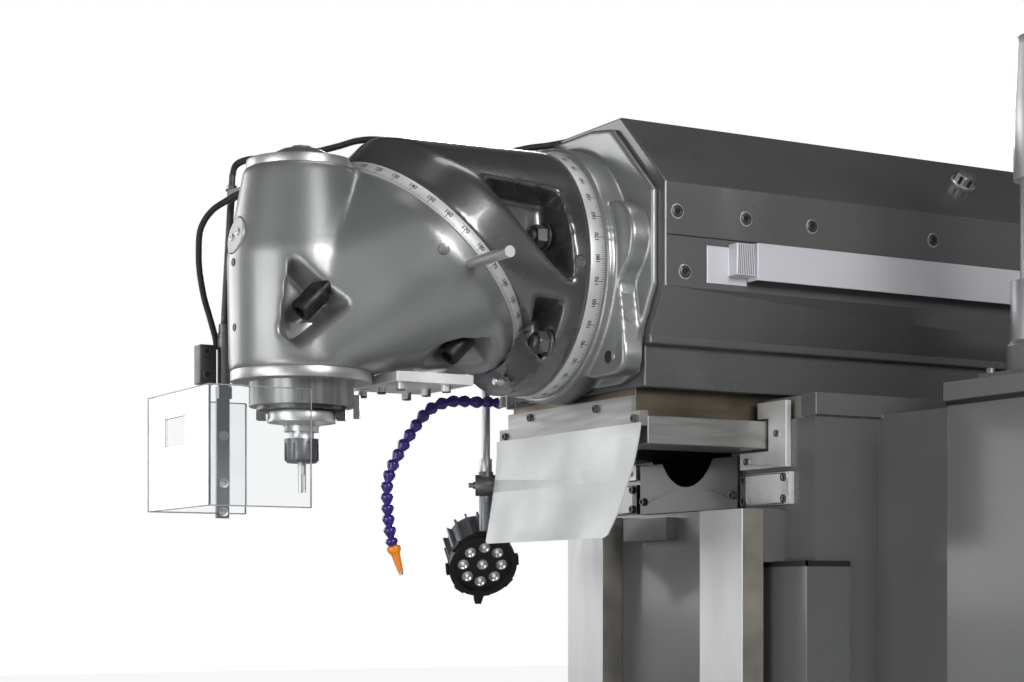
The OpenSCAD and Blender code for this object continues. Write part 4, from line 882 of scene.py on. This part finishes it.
# Degree rings: fine turned bands with engraved and blackened marks at every degree and
# plain numerals at every tenth degree, counted down both ways from 180 at the machine's right.
MARK_R, NUMERAL_HEIGHT, NUMERAL_WEIGHT = 185.12, 0.0088, 0.00022
MARK_SHARES = {"ten": 1.0, "five": 0.78, "one": 0.55}
WIDE_MARK, FINE_MARK = 0.48, 0.34
scale_band = shader("scale_band", (0.60, 0.61, 0.61), metallic=0.5, rough=0.48, grain=(30, 0.05),
                    patches=(9, 0.08))
dress("ram_scale_ring", scale_band, 0.0006)
dress("swivel_scale_ring", scale_band, 0.0006)


def numeral_mesh(value):
    cu = bpy.data.curves.new("numeral", "FONT")
    cu.body = str(value)
    cu.size = NUMERAL_HEIGHT
    cu.align_x = "CENTER"
    cu.align_y = "BOTTOM_BASELINE"
    cu.offset = NUMERAL_WEIGHT
    o = bpy.data.objects.new("numeral", cu)
    scene.collection.objects.link(o)
    bpy.context.view_layer.update()
    me = bpy.data.meshes.new_from_object(o.evaluated_get(bpy.context.evaluated_depsgraph_get()))
    bpy.data.objects.remove(o, do_unlink=True)
    return me


def degree_marks(name, centre, frame_of, foot, tall):
    """Marks round a ring. frame_of(angle) gives (radial, tangent, axial) directions; foot is the axial place
    where the marks start; numerals stand above the long marks."""
    bm = bmesh.new()
    for d in range(360):
        size = tall * MARK_SHARES["ten" if d % 10 == 0 else "five" if d % 5 == 0 else "one"]
        wide = WIDE_MARK if d % 10 == 0 else FINE_MARK
        radial, tangent, axial = frame_of(math.radians(d))
        bm.faces.new([bm.verts.new((centre + radial * MARK_R + tangent * s * wide + axial * (foot + h)) / 1000)
                      for s, h in ((-1, 0), (1, 0), (1, size), (-1, size))])
    for d in range(0, 360, 10):
        value = 180 - (d if d <= 180 else 360 - d)
        if value < 90:
            value = 180 - value
        radial, tangent, axial = frame_of(math.radians(d))
        numeral = numeral_mesh(value)
        start = len(bm.verts)
        bm.from_mesh(numeral)
        bpy.data.meshes.remove(numeral)
        bm.verts.ensure_lookup_table()
        for v in bm.verts[start:]:
            x, y = v.co.x * 1000, v.co.y * 1000
            r = math.sqrt(max(0, MARK_R ** 2 - x * x))
            v.co = (centre + radial * r + tangent * x + axial * (foot + tall + 1.0 + y)) / 1000
    return made(name, bm, ink)


def upright_frame(t):
    return Vector((math.cos(t), 0, math.sin(t))), Vector((-math.sin(t), 0, math.cos(t))), Vector((0, -1, 0))


def slanted_frame(t):
    u, v, axial = Vector((1, 0, 0)), Vector((0, DIAG, -DIAG)), Vector((0, DIAG, DIAG))
    return u * math.cos(t) + v * math.sin(t), -u * math.sin(t) + v * math.cos(t), axial


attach(degree_marks("upright_marks", Vector((0, 0, AX)), upright_frame, -395.6, 9.0), "ram_group")
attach(degree_marks("slanted_marks", slant(0, 0, 0), slanted_frame, -9.9, 7.0), "knuckle_group")

# Spindle and its drive: ground steel shafts and bearings, a darkened nose, and a tool
# holder with a bright collet nut and an end mill.
spindle_steel = shader("spindle_steel", (0.11, 0.11, 0.11), metallic=0.8, rough=0.32, grain=(60, 0.08),
                       patches=(40, 0.3))
holder_steel = shader("holder_steel", (0.13, 0.13, 0.14), metallic=0.75, rough=0.34, patches=(40, 0.2))
two_tone(holder_steel, "Z", 1.4674, 1.4677, (0.62, 0.62, 0.62))
for node, mat, edge in (("jack_shaft", ground, 0), ("spindle_bearings", ground, 0),
                        ("spindle", spindle_steel, 0.0008), ("tool_holder", holder_steel, 0.0006),
                        ("end_mill", turned, 0)):
    dress(node, mat, edge)

# Block on the bearing cap: a dark steel clamp, bolted against the cap's side behind the
# spindle, on the machine's right.
CAP_HEIGHT, CAP_RIM, BLOCK_DEEP, BLOCK_HALF = AX - 217.5, 74.5, 9, 7.5
round_to_block = Matrix.Rotation(math.radians(60.4), 4, "Z")
corners = boxed(CAP_RIM, CAP_RIM + BLOCK_DEEP, -BLOCK_HALF, BLOCK_HALF, CAP_HEIGHT - 15.5, CAP_HEIGHT + 17.5)
cap_block = joined("cap_block", [hull([round_to_block @ p for p in corners])], black_steel)
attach(cap_block, "head")

# Clear guard: three walls of bent clear sheet on a satin hinge bar. Its sawn and polished
# edges gather the light as grey lines, and button heads hold it to the bar.
SHEET_FOOT, SHEET_HEAD, CORNER_FOOT, CORNER_HEAD = 1365.6, 1528.4, 1366, 1528
OUTER_EDGE, INNER_EDGE = (-141.4, 99.4, -178.4, -29), (-138.4, 96.4, -175.4, -29)
clear = shader("clear_sheet", (0.935, 0.95, 0.958), rough=0.03, transmission=1.0, ior=1.49)
edge_tint = shader("sheet_edge", (0.50, 0.54, 0.56), rough=0.25, transmission=0.4)
bar_satin = shader("bar_satin", (0.20, 0.205, 0.215), metallic=0.6, rough=0.42, patches=(20, 0.15))
dress("guard_panel", clear, 0.0006)
dress("guard_bar", bar_satin, 0.0006)
runs = []
for thick, (x0, x1, y0, y1) in ((1.0, OUTER_EDGE), (0.55, INNER_EDGE)):
    for z in (SHEET_FOOT, SHEET_HEAD):
        runs += [(thick, (x0, y1, z), (x0, y0, z)), (thick, (x0, y0, z), (x1, y0, z)),
                 (thick, (x1, y0, z), (x1, y1, z))]
    runs += [(thick, (x, y, CORNER_FOOT), (x, y, CORNER_HEAD))
             for x, y in ((x0, y0), (x1, y0), (x0, y1), (x1, y1))]
for i, (thick, a, b) in enumerate(runs):
    edge = tube_along(f"sheet_edge_{i}", [a, b], thick, edge_tint, sides=6, step=60)
    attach(edge, "guard")
for i, z in enumerate((1367, 1409, 1479)):
    screw = socket_cap(f"guard_screw_{i}", 6.8, 4.8, turned)
    stand(screw, (-133, -67, z), (1, 0, 0))
    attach(screw, "guard")

# Switch block of the guard: black anodised housing with two socket screws beside a grey
# sleeve; a thin rod runs from it up the head to a nut, and a bracket holds it there.
BLOCK_FACE_X, ROD_FOOT = -120, Vector((-132, -65.5, 1638))
block_coat = shader("block_coat", (0.075, 0.075, 0.078), metallic=0.5, rough=0.42, grain=(30, 0.06),
                    patches=(25, 0.25))
sleeve_grey = shader("sleeve_grey", (0.20, 0.205, 0.21), metallic=0.5, rough=0.38, patches=(30, 0.12))
block = eased_block("switch_block", (-145, BLOCK_FACE_X, -107, -82, 1553, 1610), 0.0011, 2, block_coat)
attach(block, "head")
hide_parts("guard_mount")
for i, z in enumerate((1566.4, 1600.2)):
    screw = socket_cap(f"switch_screw_{i}", 5.6, 1.6, black_steel)
    stand(screw, (BLOCK_FACE_X - 0.4, -96.6, z), (1, 0, 0))
    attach(screw, "head")
sleeve = lathe("pivot_sleeve", [(0, 0), (9.6, 0), (9.6, 69), (9.0, 69.6), (9.0, 72), (8.6, 72.4), (8.6, 75),
                                (9.0, 75.4), (9.0, 77), (7.8, 78), (7.8, 89), (6.6, 90.2), (4.4, 90.2),
                                (4.4, 100), (0, 100)], 40, sleeve_grey)
stand(sleeve, (-132, -66, 1552.6), (0, 0, 1))
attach(sleeve, "head")
rod_way = Vector((0, 12.5, 218)).normalized()
rod = lathe("pivot_rod", [(0, 0), (5.4, 0), (5.4, 190), (4.8, 191), (4.8, 226), (0, 226)], 24, block_coat)
stand(rod, ROD_FOOT, rod_way)
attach(rod, "head")
for name, at, r, h, n in (("rod_nut", 204, 7.6, 6, 6), ("rod_washer", 201.5, 9.0, 2.4, 28),
                          ("rod_collar", 186, 6.2, 12, 28)):
    o = lathe(name, [(0, 0), (r, 0), (r, h * 0.85), (r * 0.9, h), (0, h)], n, black_steel)
    stand(o, ROD_FOOT + rod_way * at, rod_way)
    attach(o, "head")
BRACKET_PLAN, BRACKET_FOOT, BRACKET_TOP = ((-70, -34), (-66, -46), (-136, -48), (-132, -61)), 1826, 1840
corners = [(x, y, z) for x, y in BRACKET_PLAN for z in (BRACKET_FOOT, BRACKET_TOP)]
bracket = joined("rod_bracket", [hull(corners)], black_steel)
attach(bracket, "head")

# Switch cable: black ribbed rubber sleeving that loops from the switch block up beside the
# head's front to the rod's bracket, clipped at both ends.
SLEEVING_R, RIB_PITCH, RIB_STEP = 4.6, 2.6, 0.65
rubber = shader("rubber", (0.02, 0.02, 0.021), rough=0.55, bump=(500, 0.00005))
cable_path = [(-138, -75.9, 1606), (-138, -76.5, 1621), (-138, -85.3, 1651.6), (-138, -94.6, 1681.7),
              (-138, -101.5, 1720.6), (-138, -102.6, 1751.2), (-137, -101.1, 1776.1), (-134, -94.6, 1793.7),
              (-129, -85.6, 1806.9), (-122, -77.5, 1814.5), (-112, -70.6, 1819.5), (-92, -61.4, 1826.2),
              (-76, -52, 1830)]
loop = tube_along("switch_cable", cable_path, SLEEVING_R, rubber, RIB_PITCH, 0.8, step=RIB_STEP)
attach(loop, "head")

# Conduits over the head: wiring in corrugated rubber sleeving, clipped to the castings;
# the sleeving bends where it crosses from the head to the knuckle and on to the ram.
for node in ("conduit_rear", "conduit_middle", "conduit_front"):
    dress(node, rubber)
BACK_PATH = [(-40, 490, 228), (-40, 436, 213), (-40, 400, 205), (-40, 359, 193.5), (-40, 330, 190)]
TOP_PATH = [(-40, 329, 190), (-40, 240, 189.5), (-40, 150, 189), (-41, 110, 184), (-47, 78, 173),
            (-53, 40, 161), (-66, 10, 156), (-84, -18, 153), (-108, -40, 152), (-126, -50, 146),
            (-132, -52.4, 131)]
back_run, top_run = [
    tube_along(name, [(x, y, AX + q) for x, y, q in path], SLEEVING_R, rubber, RIB_PITCH, 1.2, step=RIB_STEP)
    for name, path in (("conduit_back", BACK_PATH), ("conduit_top", TOP_PATH))]
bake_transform(back_run)
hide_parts("conduit_rear")
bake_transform(top_run)
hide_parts("conduit_middle", "conduit_front")

# Knee, saddle, turntable and table: painted castings under a planed iron table with its
# three slots; the screws, handwheels and crank are turned bright.
table_iron = shader("table_iron", (0.34, 0.34, 0.335), metallic=0.5, rough=0.55, grain=(40, 0.05, (6, 0.3, 6)),
                    patches=(5, 0.10, (2, 0.5, 2)))
for node, mat, edge in (("knee", enamel, 0.003), ("saddle", enamel, 0.002), ("turntable", enamel, 0.0015),
                        ("table", table_iron, 0.001), ("elevating_screw", ground, 0.0008),
                        ("table_screw", turned, 0.001), ("cross_screw", turned, 0.001),
                        ("knee_crank", turned, 0.001)):
    dress(node, mat, edge)
